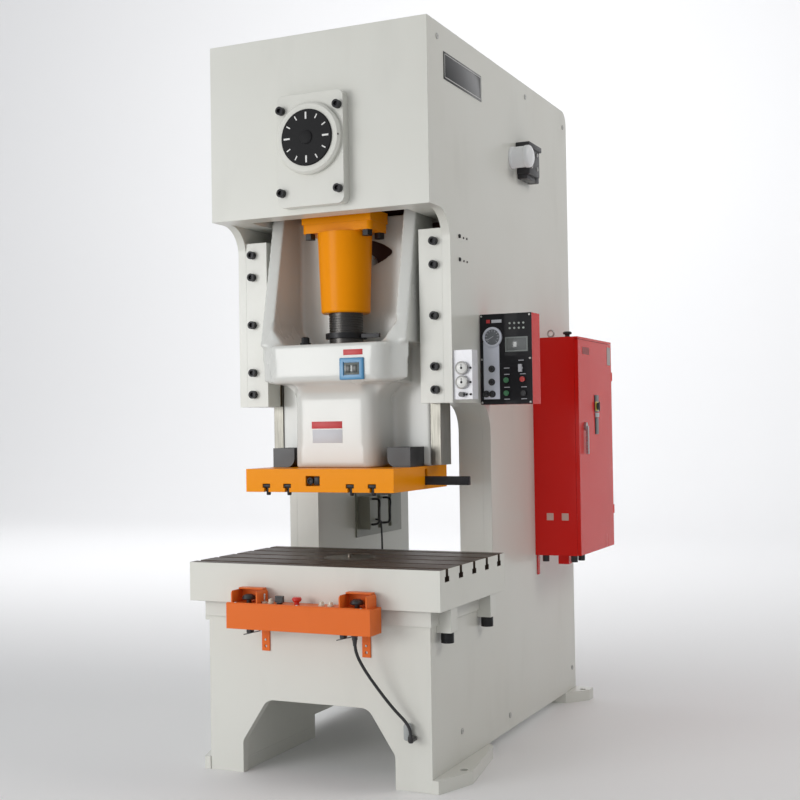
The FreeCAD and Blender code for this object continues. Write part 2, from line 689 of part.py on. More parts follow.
def flywheel():
    """Flywheel that runs on the drive shaft, its clutch drum in front of it."""
    front, back = f"({BELT_FRONT} - 30)", f"({BELT_BACK} + 30)"
    deep = f"({back} - {front})"
    wheel = turned("FlywheelBlank", [
        ("shaft + run_gap", "0"), ("130", "0"), ("130", "45"),
        ("flywheel_round - 95", "45"), ("flywheel_round - 95", "0"), ("flywheel_round", "0"),
        ("flywheel_round", "30"), ("belt_seat", "30"), ("belt_seat", f"{deep} - 30"),
        ("flywheel_round", f"{deep} - 30"), ("flywheel_round", deep), ("flywheel_round - 95", deep),
        ("flywheel_round - 95", f"{deep} - 45"), ("130", f"{deep} - 45"), ("130", deep),
        ("shaft + run_gap", deep),
    ], "0", front, PINION_HIGH, "Y")
    node("flywheel", wheel)
    clutch = turned("ClutchDrum", [
        ("shaft", "0"), ("150", "0"), ("150", "30"), ("205", "30"), ("205", "110"),
        ("185", "120"), ("120", "120"), ("120", "190"), ("shaft", "190"),
    ], "0", f"{DRIVE_BACK} + 40", PINION_HIGH, "Y")
    node("clutch_brake", clutch)


def motor():
    """Foot-mounted motor on its shelf, with the pulley on its shaft."""
    centre = ("0", "motor_high")
    body = drum("MotorBody", "motor_round", (f"{DRIVE_BACK} + 15", "535"), centre, "Y")
    neck = drum("MotorFlange", "motor_round - 40", ("535", "546"), centre, "Y")
    foot = block("MotorFoot", ("-130", "130"), (f"{DRIVE_BACK} + 50", "500"),
                 ("motor_high - motor_round - 5", "motor_high - 60"))
    box = block("MotorTerminals", ("motor_round - 30", "motor_round + 60"), ("330", "450"),
                ("motor_high - 20", "motor_high + 90"))
    shaft_hole = drum("MotorShaftHole", "24 + run_gap", ("450", "547"), centre, "Y")
    node("motor", cut("Motor", join("MotorCasting", body, neck, foot, box), shaft_hole))
    pulley = turned("MotorPulley", [
        ("0", "-100"), ("24", "-100"), ("24", "0"), ("pulley_seat + 12", "0"), ("pulley_seat + 12", "8"),
        ("pulley_seat", "8"), ("pulley_seat", f"{BELT_BACK} - {BELT_FRONT} + 8"),
        ("pulley_seat + 12", f"{BELT_BACK} - {BELT_FRONT} + 8"),
        ("pulley_seat + 12", f"{BELT_BACK} - {BELT_FRONT} + 16"), ("0", f"{BELT_BACK} - {BELT_FRONT} + 16"),
    ], "0", f"{BELT_FRONT} - 8", "motor_high", "Y")
    node("motor_pulley", pulley)


def belt_loop(name, grow, start, end):
    """Everything inside a belt's outline: two discs and the straight runs between them."""
    low, high = f"(belt_seat + {grow})", f"(pulley_seat + {grow})"
    apart = f"(motor_high - {PINION_HIGH})"
    rise = f"(({low} - {high}) / {apart})"
    side = f"(sqrt(1 - {rise} * {rise}))"
    runs = prism(name + "Runs", "XZ_Plane", [
        (f"-{low} * {side}", f"{PINION_HIGH} + {low} * {rise}"),
        (f"{low} * {side}", f"{PINION_HIGH} + {low} * {rise}"),
        (f"{high} * {side}", f"motor_high + {high} * {rise}"),
        (f"-{high} * {side}", f"motor_high + {high} * {rise}"),
    ], start, end)
    discs = [drum(name + "Low", low, (start, end), ("0", PINION_HIGH), "Y"),
             drum(name + "High", high, (start, end), ("0", "motor_high"), "Y")]
    return join(name, runs, *discs)


def drive_belts():
    """Four belts from the motor pulley to the flywheel."""
    belts = []
    for i in range(4):
        start = f"{BELT_FRONT} + 2 + {i} * 17"
        outer = belt_loop(f"BeltOuter{i}", "11", start, f"{start} + 15")
        inner = belt_loop(f"BeltInner{i}", "slip", f"{start} - 1", f"{start} + 16")
        belts.append(cut(f"Belt{i}", outer, inner))
    node("drive_belts", group("DriveBelts", *belts))


# ---------------------------------------------------------------- connecting rod and screw


def connecting_rod():
    """Eye on the crank pin, flanged to the tapered barrel that holds the adjusting screw."""
    flange_low = f"({PIN_HIGH} - 287)"
    joint = f"({flange_low} + 40)"
    deep = ("-ram - rod_half_deep", "-ram + rod_half_deep")
    eye = drum("RodEye", "rod_eye", deep, ("0", PIN_HIGH), "Y")
    seat = block("RodSeat", ("-rod_half", "rod_half"), deep, (joint, f"{joint} + 50"))
    stem = block("RodStem", ("-rod_half + 40", "rod_half - 40"), deep, (f"{joint} + 49", PIN_HIGH))
    bore = drum("RodBore", "pin + run_gap", ("-ram - rod_half_deep - 1", "-ram + rod_half_deep + 1"),
                ("0", PIN_HIGH), "Y")
    node("rod_big_end", cut("RodBigEnd", join("RodBody", eye, seat, stem), bore))

    flange = prism("BarrelFlange", "XY_Plane", [
        ("-rod_half", deep[0]), ("rod_half", deep[0]), ("rod_half", deep[1]), ("-rod_half", deep[1]),
    ], flange_low, joint)
    soften(flange, "Z", [(x, y) for x in ("-rod_half", "rod_half") for y in deep], "22")
    barrel = turned("BarrelCone", [
        ("0", "barrel_mouth"), ("barrel_low - 6", "barrel_mouth"), ("barrel_low", "barrel_mouth + 6"),
        ("barrel_top", flange_low), ("0", flange_low),
    ], "0", "-ram", "0", "Z")
    sides = block("BarrelSides", ("-rod_half", "rod_half"), deep, (f"{flange_low} - 1", joint))
    depth = ("barrel_mouth - 1", "barrel_mouth + 160")
    hole = drum("BarrelHole", "screw + run_gap", depth, ("0", "-ram"), "Z")
    solid = join("BarrelSolid", common("FlangeTrim", flange, sides), barrel)
    node("rod_barrel", cut("RodBarrel", solid, hole))

    nuts = []
    for i, (x, y) in enumerate((x, y) for x in ("-1", "1") for y in ("-1", "1")):
        centre = (f"{x} * (rod_half - 30)", f"-ram + {y} * (rod_half_deep - 27)")
        nuts.append(hexagon(f"RodNut{i}", "42", (f"{flange_low} - 26", flange_low), centre, "Z"))
    node("rod_bolts", group("RodBolts", *nuts))


def adjusting_screw():
    """Threaded screw with its ball end, and the clamp ring that locks it."""
    top = "barrel_mouth + 150"
    body = drum("ScrewBody", "screw", ("ball_high + 60", top), ("0", "-ram"), "Z")
    end = ball("ScrewBall", "ball", "0", "-ram", "ball_high")
    grooves = []
    for i in range(7):
        low = f"barrel_mouth - 18 - {i} * 11"
        ring = drum(f"ThreadOuter{i}", "screw + 1", (low, f"{low} + 4"), ("0", "-ram"), "Z")
        core = drum(f"ThreadCore{i}", "screw - 4", (f"{low} - 1", f"{low} + 5"), ("0", "-ram"), "Z")
        grooves.append(cut(f"Thread{i}", ring, core))
    threads = group("Threads", *grooves)
    node("adjusting_screw", cut("AdjustingScrew", join("ScrewSolid", body, end), threads))

    low, high = "block_high + 32", "block_high + 56"
    ring = drum("ClampOuter", "screw + 17", (low, high), ("0", "-ram"), "Z")
    lever = block("ClampLever", ("screw + 8", "screw + 100"), ("-ram - 30", "-ram - 14"),
                  (low, f"{high} - 6"))
    hole = drum("ClampHole", "screw + 0.05", (f"{low} - 1", f"{high} + 1"), ("0", "-ram"), "Z")
    node("screw_clamp", cut("ScrewClamp", join("ClampSolid", ring, lever), hole))


# ---------------------------------------------------------------- slide


def slide_body():
    """Cast slide: neck, upper block with the ball's chamber, guide wings, rear web and two arms."""
    plate_top = "(slide_low + slide_plate_high)"
    neck = prism("SlideNeck", "XY_Plane", [
        ("-neck_half", "-ram - 151"), ("neck_half", "-ram - 151"),
        ("neck_half", WEB_BACK), ("-neck_half", WEB_BACK),
    ], plate_top, "block_high")
    soften(neck, "Z", [("-neck_half", "-ram - 151"), ("neck_half", "-ram - 151")], "45")
    upper = prism("SlideBlock", "XY_Plane", [
        ("-block_half", "-ram - 226"), ("block_half", "-ram - 226"),
        ("block_half", WEB_BACK), ("-block_half", WEB_BACK),
    ], "block_low", "block_high")
    soften(upper, "Z", [("-block_half", "-ram - 226"), ("block_half", "-ram - 226")], "60")
    wings = block("SlideWings", ("-rail_in", "rail_in"), (RAIL_FRONT, f"{RAIL_BACK} - 10"),
                  (plate_top, "rail_high"))
    above_block = ("block_high", "rail_high + 1")
    wing_gap = block("WingGap", ("-300", "300"), (f"{RAIL_FRONT} - 1", WEB_FRONT), above_block)
    wing_rear = block("WingRear", ("-300", "300"), (WEB_BACK, f"{RAIL_BACK} + 1"), above_block)
    web = block("SlideWeb", ("-301", "301"), (WEB_FRONT, WEB_BACK), ("block_high - 1", "crown_under + 35"))
    arm = prism("SlideArm", "YZ_Plane", [
        ("-ram - 150", "block_high - 1"), ("-ram - 22", "crown_under + 25"),
        ("-ram - 22", "crown_under + 185"), (WEB_BACK, "crown_under + 185"), (WEB_BACK, "block_high - 1"),
    ], "300", "360")
    arms = both_sides("SlideArms", arm)
    lens_high, lens_round, lens_shift = "(block_high + 430)", "267", "201.5"
    through = (f"{WEB_FRONT} - 1", f"{WEB_BACK} + 1")
    lens = common("LensWindow",
                  drum("LensTop", lens_round, through, ("0", f"{lens_high} - {lens_shift}"), "Y"),
                  drum("LensLow", lens_round, through, ("0", f"{lens_high} + {lens_shift}"), "Y"))
    chamber = block("BallChamber", ("-ball - throw - 8", "ball + 8"), ("-ram - ball - 8", "-ram + ball + 8"),
                    ("ball_high - ball - ball_play", "block_high + 1"))
    hollow_wings = cut("WingsHollow", wings, wing_gap, wing_rear)
    body = join("SlideCasting", neck, upper, hollow_wings, web, arms)
    node("slide_body", cut("SlideBody", body, lens, chamber))

    rail = block("SlideRail", ("rail_in", "rail_out"), (RAIL_FRONT, RAIL_BACK), ("rail_low", "rail_high"))
    node("slide_rails", both_sides("SlideRails", rail))


def slide_plate():
    """Orange plate under the slide, with T-slots, the shank hole and the knockout bar's slot."""
    deep = ("-ram - slide_plate_half_deep", "-ram + slide_plate_half_deep")
    top = "(slide_low + slide_plate_high)"
    slab = block("PlateSlab", ("-slide_plate_half", "slide_plate_half"), deep, ("slide_low", top))
    tools = [drum("ShankHole", "shank", ("slide_low - 1", "slide_low + shank_deep"), ("0", "-ram"), "Z"),
             block("BarSlot", ("-slide_plate_half - 1", "slide_plate_half + 1"), ("-ram + 38", "-ram + 66"),
                   ("slide_low + 18", f"{top} - 12")),
             block("ClampPocket", ("-60", "8"), (f"{deep[0]} - 1", f"{deep[0]} + 40"),
                   ("slide_low + 27", "slide_low + 70"))]
    for i, x in enumerate(("-1.68", "-1", "1", "1.68")):
        middle = f"({x} * slot_pitch)"
        for kind, low in (("neck", "slide_low - 1"), ("head", "slide_low + 18")):
            half = f"under_slot_{kind} / 2"
            tools.append(block(f"UnderSlot{i}{kind}", (f"{middle} - {half}", f"{middle} + {half}"),
                               (f"{deep[0]} - 1", "-ram - 5"), (low, "slide_low + 36")))
    node("slide_plate", cut("SlidePlate", slab, *tools))
    node("knockout_bar", block("KnockoutBar", ("-slide_plate_half - 10", "slide_plate_half + 205"),
                               ("-ram + 39", "-ram + 65"), ("slide_low + 18", "slide_low + 56")))

    tray = prism("OilTray", "XZ_Plane", [
        ("neck_half + 36", f"{top}"), ("neck_half + 145", f"{top}"),
        ("neck_half + 145", f"{top} + 86"), ("neck_half + 36", f"{top} + 86"),
    ], f"{RAIL_FRONT} - 152", RAIL_FRONT)
    soften(tray, "Y", [("neck_half + 36", top)], "40")
    hollow = block("TrayHollow", ("neck_half + 48", "neck_half + 137"),
                   (f"{RAIL_FRONT} - 144", f"{RAIL_FRONT} - 8"), (f"{top} + 45", f"{top} + 87"))
    node("oil_trays", both_sides("OilTrays", cut("TrayRight", tray, hollow)))


def balancers():
    """Air cylinders in the crown that carry the slide's weight, and their rods."""
    arm_top = "(crown_under + 185)"
    place_xy = ("330", "-ram + 80")
    top = "total_high - plate"
    tube = drum("BalanceTube", "60", (f"{arm_top} + 230", top), place_xy, "Z")
    bore = drum("BalanceBore", "50", (f"{arm_top} + 242", f"{top} - 12"), place_xy, "Z")
    mouth = drum("BalanceMouth", "20.05", (f"{arm_top} + 229", f"{arm_top} + 243"), place_xy, "Z")
    node("balance_cylinders", both_sides("BalanceCylinders", cut("BalanceCylinder", tube, bore, mouth)))
    rod = drum("BalanceRod", "20", (arm_top, f"{arm_top} + 260"), place_xy, "Z")
    piston = drum("BalancePiston", "49.95", (f"{arm_top} + 246", f"{arm_top} + 276"), place_xy, "Z")
    node("balance_rods", both_sides("BalanceRods", join("BalanceRodRight", rod, piston)))


# ---------------------------------------------------------------- two-hand console


def console():
    """Box with its hood guards and hanging brackets; the controls stand on its top."""
    box = block("ConsoleBox", ("-console_half", "console_half"), (CONSOLE_FRONT, CONSOLE_BACK),
                ("console_low", CONSOLE_TOP))
    hoods = []
    for side in ("-1", "1"):
        middle = f"({side} * (console_half - 82))"
        name = "HoodL" if side == "-1" else "HoodR"
        outer = prism(name, "XZ_Plane", [
            (f"{middle} - 64", CONSOLE_TOP), (f"{middle} + 64", CONSOLE_TOP),
            (f"{middle} + 64", f"{CONSOLE_TOP} + 60"), (f"{middle} - 64", f"{CONSOLE_TOP} + 60"),
        ], f"{CONSOLE_FRONT} + 10", f"{CONSOLE_BACK} - 6")
        hood_top = f"{CONSOLE_TOP} + 60"
        soften(outer, "Y", [(f"{middle} - 64", hood_top), (f"{middle} + 64", hood_top)], "22")
        across = (f"{middle} - 58", f"{middle} + 58")
        inner = block(name + "Inner", across, (f"{CONSOLE_FRONT} + 9", f"{CONSOLE_BACK} - 12"),
                      (CONSOLE_TOP, f"{CONSOLE_TOP} + 61"))
        visor = block(name + "Visor", across, (f"{CONSOLE_FRONT} + 62", f"{CONSOLE_BACK} - 8"),
                      (f"{CONSOLE_TOP} + 54", f"{CONSOLE_TOP} + 60"))
        hoods += [cut(name + "Shell", outer, inner), visor]
    hangers = []
    for i, x in enumerate(("-241", "241")):
        across = (f"{x} - 19", f"{x} + 19")
        leg = block(f"HangerLeg{i}", across, ("-base_front - 6", "-base_front"),
                    ("console_low - 115", "console_low"))
        arm = block(f"HangerArm{i}", across, (f"{CONSOLE_BACK} - 25", "-base_front"),
                    ("console_low - 6", "console_low"))
        hangers += [leg, arm]
    solid = join("ConsoleSolid", box, *hoods, *hangers)
    through = ("-base_front - 7", "-base_front + 1")
    bores = [drum(f"HangerHole{i}", "6.5", through, (x, "console_low - 95"), "Y")
             for i, x in enumerate(("-241", "241"))]
    button_at = ("(console_half - 82)", f"({CONSOLE_FRONT} + 50)")
    wells = []
    for i, x in enumerate((f"-{button_at[0]}", button_at[0], "-24")):
        wells.append(drum(f"ButtonWell{i}", "11", (f"{CONSOLE_TOP} - 30", f"{CONSOLE_TOP} + 1"),
                          (x, button_at[1]), "Z"))
    node("console_box", cut("Console", solid, *bores, *wells))

    for side, label in (("-", "left"), ("", "right")):
        centre = (f"{side}{button_at[0]}", button_at[1])
        stem = drum(f"PalmStem_{label}", "10.7", (f"{CONSOLE_TOP} - 20", f"{CONSOLE_TOP} + 16"), centre, "Z")
        cap = turned(f"PalmCap_{label}", [
            ("0", "0"), ("27", "0"), ("30", "5"), ("26", "15"), ("14", "21"), ("0", "22"),
        ], centre[0], centre[1], f"{CONSOLE_TOP} + 14", "Z")
        node(f"palm_button_{label}", join(f"Palm_{label}", stem, cap))
    stop_at = ("-24", button_at[1])
    stem = drum("StopStem", "10.7", (f"{CONSOLE_TOP} - 20", f"{CONSOLE_TOP} + 14"), stop_at, "Z")
    head = turned("StopHead", [("0", "0"), ("14", "0"), ("20", "8"), ("20", "15"), ("15", "20"), ("0", "21")],
                  stop_at[0], stop_at[1], f"{CONSOLE_TOP} + 12", "Z")
    node("emergency_button", join("EmergencyButton", stem, head))


def console_switches():
    """Rotary switch, toggle and two lamps on the console's top."""
    y = f"({CONSOLE_FRONT} + 50)"
    base = drum("SelectorBase", "13", (CONSOLE_TOP, f"{CONSOLE_TOP} + 6"), ("-107", y), "Z")
    grip = block("SelectorGrip", ("-125", "-89"), (f"{y} - 7", f"{y} + 7"),
                 (f"{CONSOLE_TOP} + 6", f"{CONSOLE_TOP} + 34"))
    node("console_selector", join("ConsoleSelector", base, grip))
    collar = drum("ToggleCollar", "12", (CONSOLE_TOP, f"{CONSOLE_TOP} + 8"), ("-180", y), "Z")
    slot = block("ToggleSlot", ("-185", "-175"), (f"{y} - 9", f"{y} + 9"),
                 (f"{CONSOLE_TOP} + 2", f"{CONSOLE_TOP} + 9"))
    toggle_base = cut("ToggleBase", collar, slot)
    lever = turned("ToggleLever", [("0", "0"), ("3", "0"), ("4.5", "32"), ("3", "36"), ("0", "36")],
                   "-180", y, f"{CONSOLE_TOP} + 4", "Z")
    pin = drum("TogglePin", "1.5", ("-185 + slip", "-175 - slip"), (y, f"{CONSOLE_TOP} + 6"), "X")
    node("console_toggle", join("ConsoleToggle", lever, pin))
    lamps = []
    for i, x in enumerate(("-150", "92", "134")):
        lamps.append(turned(f"Lamp{i}", [
            ("0", "0"), ("13", "0"), ("13", "6"), ("10", "8"), ("9", "18"), ("0", "22"),
        ], x, y, CONSOLE_TOP, "Z"))
    node("console_fittings", group("ConsoleFittings", toggle_base, *lamps))


CABLE_ROUTE = (
    (243, -1175, 625), (243, -1175, 596), (251, -1168, 556), (270, -1157, 513), (293, -1146, 472),
    (319, -1135, 432), (346, -1125, 393), (373, -1116, 357), (400, -1109, 326), (427, -1106, 301),
    (446, -1105, 277), (455, -1104, 254), (455, -1104, 234),
)


def rounded_route(points):
    """Straight runs joined by tangent arcs, each arc as large as its two runs allow."""
    spots = [Vector(*p) for p in points]
    edges, start = [], spots[0]
    for before, corner, after in zip(spots, spots[1:], spots[2:]):
        back, ahead = (before - corner), (after - corner)
        turn = math.pi - back.getAngle(ahead)
        reach = 0.45 * min(back.Length, ahead.Length)
        print(f"cable turn {math.degrees(turn):.1f} deg, radius {reach / math.tan(turn / 2):.0f} mm")
        back.normalize()
        ahead.normalize()
        enter, leave = corner + back * reach, corner + ahead * reach
        bisector = (back + ahead).normalize()
        radius = reach / math.tan(turn / 2)
        middle = corner + bisector * (radius / math.cos(turn / 2) - radius)
        edges.append(Part.LineSegment(start, enter).toShape())
        edges.append(Part.Arc(enter, middle, leave).toShape())
        start = leave
    edges.append(Part.LineSegment(start, spots[-1]).toShape())
    return Part.Wire(edges)


def cable():
    """Console cable from its gland to the socket on the base."""
    route = rounded_route(CABLE_ROUTE)
    first, second = Vector(*CABLE_ROUTE[0]), Vector(*CABLE_ROUTE[1])
    round_section = Part.Wire(Part.makeCircle(number("cable_round"), first, second - first))
    tube = route.makePipeShell([round_section], True, False)
    print(f"cable length {route.Length:.0f} mm, volume ratio "
          f"{tube.Volume / (math.pi * number('cable_round') ** 2 * route.Length):.4f}")
    obj = doc.addObject("Part::Feature", "ConsoleCable")
    obj.Shape = tube
    node("console_cable", obj)

    start, end = CABLE_ROUTE[0], CABLE_ROUTE[-1]
    spot = (f"{start[0]}", f"{start[1]}")
    glands = [drum("ConsoleGland", "12", (f"{start[2]}", "console_low"), spot, "Z")]
    for i, (x, y) in enumerate(((42, 40), (190, 40), (200, 130))):
        spot = (f"half_wide + {x}", f"cabinet_front + {y}")
        glands.append(drum(f"CabinetGland{i}", "17", ("cabinet_low - 34", "cabinet_low"), spot, "Z"))
    node("cable_glands", group("CableGlands", *glands))
    hood = prism("InletHood", "XZ_Plane", [
        ("412", "215"), ("446", "215"), ("446", "285"), ("412", "285"),
    ], "-base_front - 36", "-base_front")
    soften(hood, "Y", [("412", "285"), ("446", "285"), ("412", "215")], "14")
    socket = block("InletSocket", ("445", f"{end[0]} + 12"), ("-base_front - 56", "-base_front"),
                   ("210", f"{end[2]}"))
    node("cable_inlet", join("CableInlet", hood, socket))


# ---------------------------------------------------------------- control panel and cabinet


def control_panel():
    """Red box on the side plate with a black face that looks to the front."""
    low, high = "panel_low", "(panel_low + panel_tall)"
    box = block("PanelBox", ("half_wide + 3", PANEL_RIGHT), ("-panel_front + 4", "-panel_front + panel_deep"),
                (low, high))
    inner = block("PanelInner", ("half_wide + 6", f"{PANEL_RIGHT} - 3"),
                  ("-panel_front + 3", "-panel_front + panel_deep - 3"), (f"{low} + 3", f"{high} - 3"))
    pad = block("PanelPad", ("half_wide", "half_wide + 3"),
                ("-panel_front + 30", "-panel_front + panel_deep - 10"), (f"{low} + 60", f"{high} - 60"))
    shell = join("PanelCase", cut("PanelShell", box, inner), pad)
    face = block("PanelFace", ("half_wide + 3", PANEL_RIGHT), ("-panel_front", "-panel_front + 4"),
                 (low, high))
    controls = {"panel_selector": (195, 160), "panel_button_a": (127, 108), "panel_button_b": (203, 110),
                "panel_button_c": (127, 50), "panel_button_d": (207, 48)}
    centres = {label: (f"half_wide + {x}", f"panel_low + {z}") for label, (x, z) in controls.items()}
    holes = [drum(f"Hole_{label}", "8.1", ("-panel_front - 1", "-panel_front + 5"), centre, "Y")
             for label, centre in centres.items()]
    node("control_panel", group("ControlPanel", shell, cut("PanelFacePlate", face, *holes)))
    for label, centre in centres.items():
        stem = drum(f"Stem_{label}", "8", ("-panel_front - 9", "-panel_front + 24"), centre, "Y")
        if label == "panel_selector":
            cap = block(f"Cap_{label}", (f"{centre[0]} - 6", f"{centre[0]} + 6"),
                        ("-panel_front - 24", "-panel_front - 2"), (f"{centre[1]} - 17", f"{centre[1]} + 17"))
        else:
            cap = drum(f"Cap_{label}", "12", ("-panel_front - 14", "-panel_front - 7"), centre, "Y")
        node(label, join(f"Piece_{label}", stem, cap))


def cabinet():
    """Electrical cabinet on the right side plate, its door hinged at the rear edge."""
    low, high = "cabinet_low", "(cabinet_low + cabinet_tall)"
    front, back = "cabinet_front", "(cabinet_front + cabinet_long)"
    lip = f"({CABINET_RIGHT} - 20)"
    box = block("CabinetBox", ("half_wide", lip), (front, back), (low, high))
    inner = block("CabinetInner", ("half_wide + 3", f"{lip} + 1"), (f"{front} + 3", f"{back} - 3"),
                  (f"{low} + 3", f"{high} - 3"))
    roof = block("CabinetRoof", (f"{lip} - 1", CABINET_RIGHT), (front, back), (f"{high} - 12", high))
    bracket = block("CabinetStrap", ("half_wide", "half_wide + 6"), (f"{front} + 20", f"{front} + 50"),
                    (f"{low} - 100", low))
    junction = block("CabinetSmallBox", ("half_wide + 100", "half_wide + 155"),
                     (f"{front} + 60", f"{front} + 110"), (f"{low} - 48", low))
    hinge_at = (f"{CABINET_RIGHT} - 9", f"{back} + 5")
    hinge_lows = (f"{low} + 150", f"{high} - 230")
    hinges = [drum(f"HingePin{i}", "7", (z, f"{z} + 70"), hinge_at, "Z") for i, z in enumerate(hinge_lows)]
    arms = [block(f"HingeArm{i}", (f"{lip} - 30", hinge_at[0]), (back, hinge_at[1]), (z, f"{z} + 20"))
            for i, z in enumerate(hinge_lows)]
    shell = cut("CabinetShell", box, inner)
    node("cabinet_body", join("Cabinet", shell, roof, bracket, junction, *hinges, *arms))

    plate = block("GearPlate", ("half_wide + 3", "half_wide + 9"), (f"{front} + 40", f"{back} - 40"),
                  (f"{low} + 60", f"{high} - 60"))
    parts = [plate]
    for row in range(3):
        for column in range(5):
            y = f"({front} + 70 + {column} * 98)"
            z = f"({low} + 150 + {row} * 300)"
            parts.append(block(f"Contactor{row}{column}", ("half_wide + 9", "half_wide + 95"),
                               (y, f"{y} + 70"), (z, f"{z} + 120")))
    node("cabinet_gear", join("CabinetGear", *parts))

    leaf = block("DoorLeaf", (f"{lip} + 0.5", CABINET_RIGHT), (f"{front} + 2", f"{back} - 2"),
                 (f"{low} + 2", f"{high} - 14"))
    dish = block("DoorDish", (f"{lip} - 1", f"{CABINET_RIGHT} - 3"), (f"{front} + 6", f"{back} - 6"),
                 (f"{low} + 6", f"{high} - 18"))
    knuckles, pin_holes = [], []
    for i, hinge_low in enumerate(hinge_lows):
        z = f"({hinge_low} + 22)"
        knuckles.append(drum(f"Knuckle{i}", "11.5", (z, f"{z} + 46"), hinge_at, "Z"))
        knuckles.append(block(f"Tongue{i}", (f"{CABINET_RIGHT} - 7", CABINET_RIGHT),
                              (f"{back} - 6", f"{back} + 5"), (z, f"{z} + 46")))
        pin_holes.append(drum(f"KnuckleHole{i}", "7.05", (f"{z} - 1", f"{z} + 47"), hinge_at, "Z"))
    lock_at = (f"{front} + 97", "cabinet_low + 643")
    boss_hole = drum("LockHole", "9.05", (f"{CABINET_RIGHT} - 4", f"{CABINET_RIGHT} + 1"), lock_at, "X")
    door_solid = join("DoorSolid", cut("DoorSheet", leaf, dish), *knuckles)
    node("cabinet_door", cut("CabinetDoor", door_solid, *pin_holes, boss_hole))

    spindle = drum("HandleSpindle", "9", (f"{CABINET_RIGHT} - 14", f"{CABINET_RIGHT} + 8"), lock_at, "X")
    rose = drum("HandleRose", "19", (f"{CABINET_RIGHT} + 0.3", f"{CABINET_RIGHT} + 12"), lock_at, "X")
    lever = block("HandleLever", (f"{CABINET_RIGHT} + 8", f"{CABINET_RIGHT} + 20"),
                  (f"{lock_at[0]} - 8", f"{lock_at[0]} + 8"), (f"{lock_at[1]} - 140", lock_at[1]))
    node("door_handle", join("DoorHandle", spindle, rose, lever))


def side_units():
    """Air gauge box on the cheek, lubricator on the crown and valve box in the throat."""
    front = "-cheek_front + 12"
    box = block("GaugeBox", ("half_wide", "half_wide + 87"), (front, "-cheek_front + 75"),
                ("cheek_under + 13", "cheek_under + 225"))
    gauges = [drum(f"Gauge{i}", "25", (f"({front}) - 14", front), ("half_wide + 42", z), "Y")
              for i, z in enumerate(("cheek_under + 147", "cheek_under + 86"))]
    node("gauge_box", join("GaugeUnit", box, *gauges))
    knob_at = ("half_wide + 42", "cheek_under + 34")
    knob_span = (f"({front}) - 26", f"({front}) - 0.3")
    node("regulator_knob", drum("RegulatorKnob", "11", knob_span, knob_at, "Y"))

    body = block("LubeBody", ("half_wide", "half_wide + 72"), ("85", "285"),
                 ("total_high - 500", "total_high - 315"))
    jar = turned("LubeJar", [("0", "0"), ("55", "0"), ("55", "75"), ("42", "100"), ("0", "112")],
                 "half_wide", "29", "total_high - 410", "X")
    node("lube_unit", group("LubeUnit", body, jar))

    back_plate = block("ValvePlate", ("-inner_half", "-inner_half + 8"), ("70", "620"), ("920", "1180"))
    across = ("-inner_half + 8", "-inner_half + 70")
    valves = [block(f"Valve{i}", across, (f"{y}", f"{y} + 90"), ("960", "1130"))
              for i, y in enumerate((100, 230, 360))]
    node("valve_box", join("ValveBox", back_plate, *valves))


side_plate()
column_boxes()
gib_housings()
crown_plates()
rear_guard()
bed_plate()
feet()
table()
bearing_cover()
frame_bolts()
bronze_linings()
crankshaft()
gears()
flywheel()
motor()
drive_belts()
connecting_rod()
adjusting_screw()
slide_body()
slide_plate()
balancers()
console()
console_switches()
cable()
control_panel()
cabinet()
side_units()
doc.recompute()

for obj in doc.Objects:
    if "Invalid" in obj.State or "Error" in obj.State:
        raise RuntimeError(f"{obj.Name} did not build: {obj.State}")
os.makedirs("parts", exist_ok=True)
for label, obj in NODES.items():
    shape = obj.Shape
    if shape.isNull() or not shape.isValid() or not shape.Solids:
        raise RuntimeError(f"{label} has no valid solid")
    shape.exportStep(f"parts/{label}.step")
print(len(NODES), "nodes,", sum(len(obj.Shape.Solids) for obj in NODES.values()), "solids")
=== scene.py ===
import math

import bpy
from mathutils import Matrix, Vector


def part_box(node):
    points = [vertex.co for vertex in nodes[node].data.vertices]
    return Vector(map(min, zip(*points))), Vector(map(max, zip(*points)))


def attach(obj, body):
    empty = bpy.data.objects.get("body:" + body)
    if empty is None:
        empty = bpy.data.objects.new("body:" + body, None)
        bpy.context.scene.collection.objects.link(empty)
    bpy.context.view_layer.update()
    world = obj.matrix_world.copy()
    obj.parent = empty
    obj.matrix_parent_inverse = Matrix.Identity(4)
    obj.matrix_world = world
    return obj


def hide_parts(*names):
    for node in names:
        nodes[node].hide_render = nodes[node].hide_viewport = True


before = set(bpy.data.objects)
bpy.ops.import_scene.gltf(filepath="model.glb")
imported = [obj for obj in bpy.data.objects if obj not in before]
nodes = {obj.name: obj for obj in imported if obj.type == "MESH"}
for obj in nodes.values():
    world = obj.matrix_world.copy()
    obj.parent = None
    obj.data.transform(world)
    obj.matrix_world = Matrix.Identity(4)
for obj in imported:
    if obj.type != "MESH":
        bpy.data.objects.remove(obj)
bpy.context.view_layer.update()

# ==== Camera, floor and light ========================================================
# The press stands on a pale studio floor that sweeps up behind it. Soft boxes light the
# front from the left, the right side weakly and the sweep; the sky fills from the left.
bpy.ops.object.select_all(action="DESELECT")
scene = bpy.context.scene
yaw, pitch, roll = math.radians(24.62), math.radians(1.13), math.radians(-0.88)
forward = Vector((-math.sin(yaw) * math.cos(pitch), math.cos(yaw) * math.cos(pitch), math.sin(pitch)))
level_right = Vector((math.cos(yaw), math.sin(yaw), 0))
level_up = level_right.cross(forward)
right = math.cos(roll) * level_right + math.sin(roll) * level_up
up = right.cross(forward)
camera = bpy.data.objects.new("camera", bpy.data.cameras.new("camera"))
camera.data.lens = 57.39
camera.data.sensor_width = 36
camera.data.clip_end = 100
camera.data.dof.use_dof = False
CAMERA_PLACE = (2.596, -5.831, 1.497)
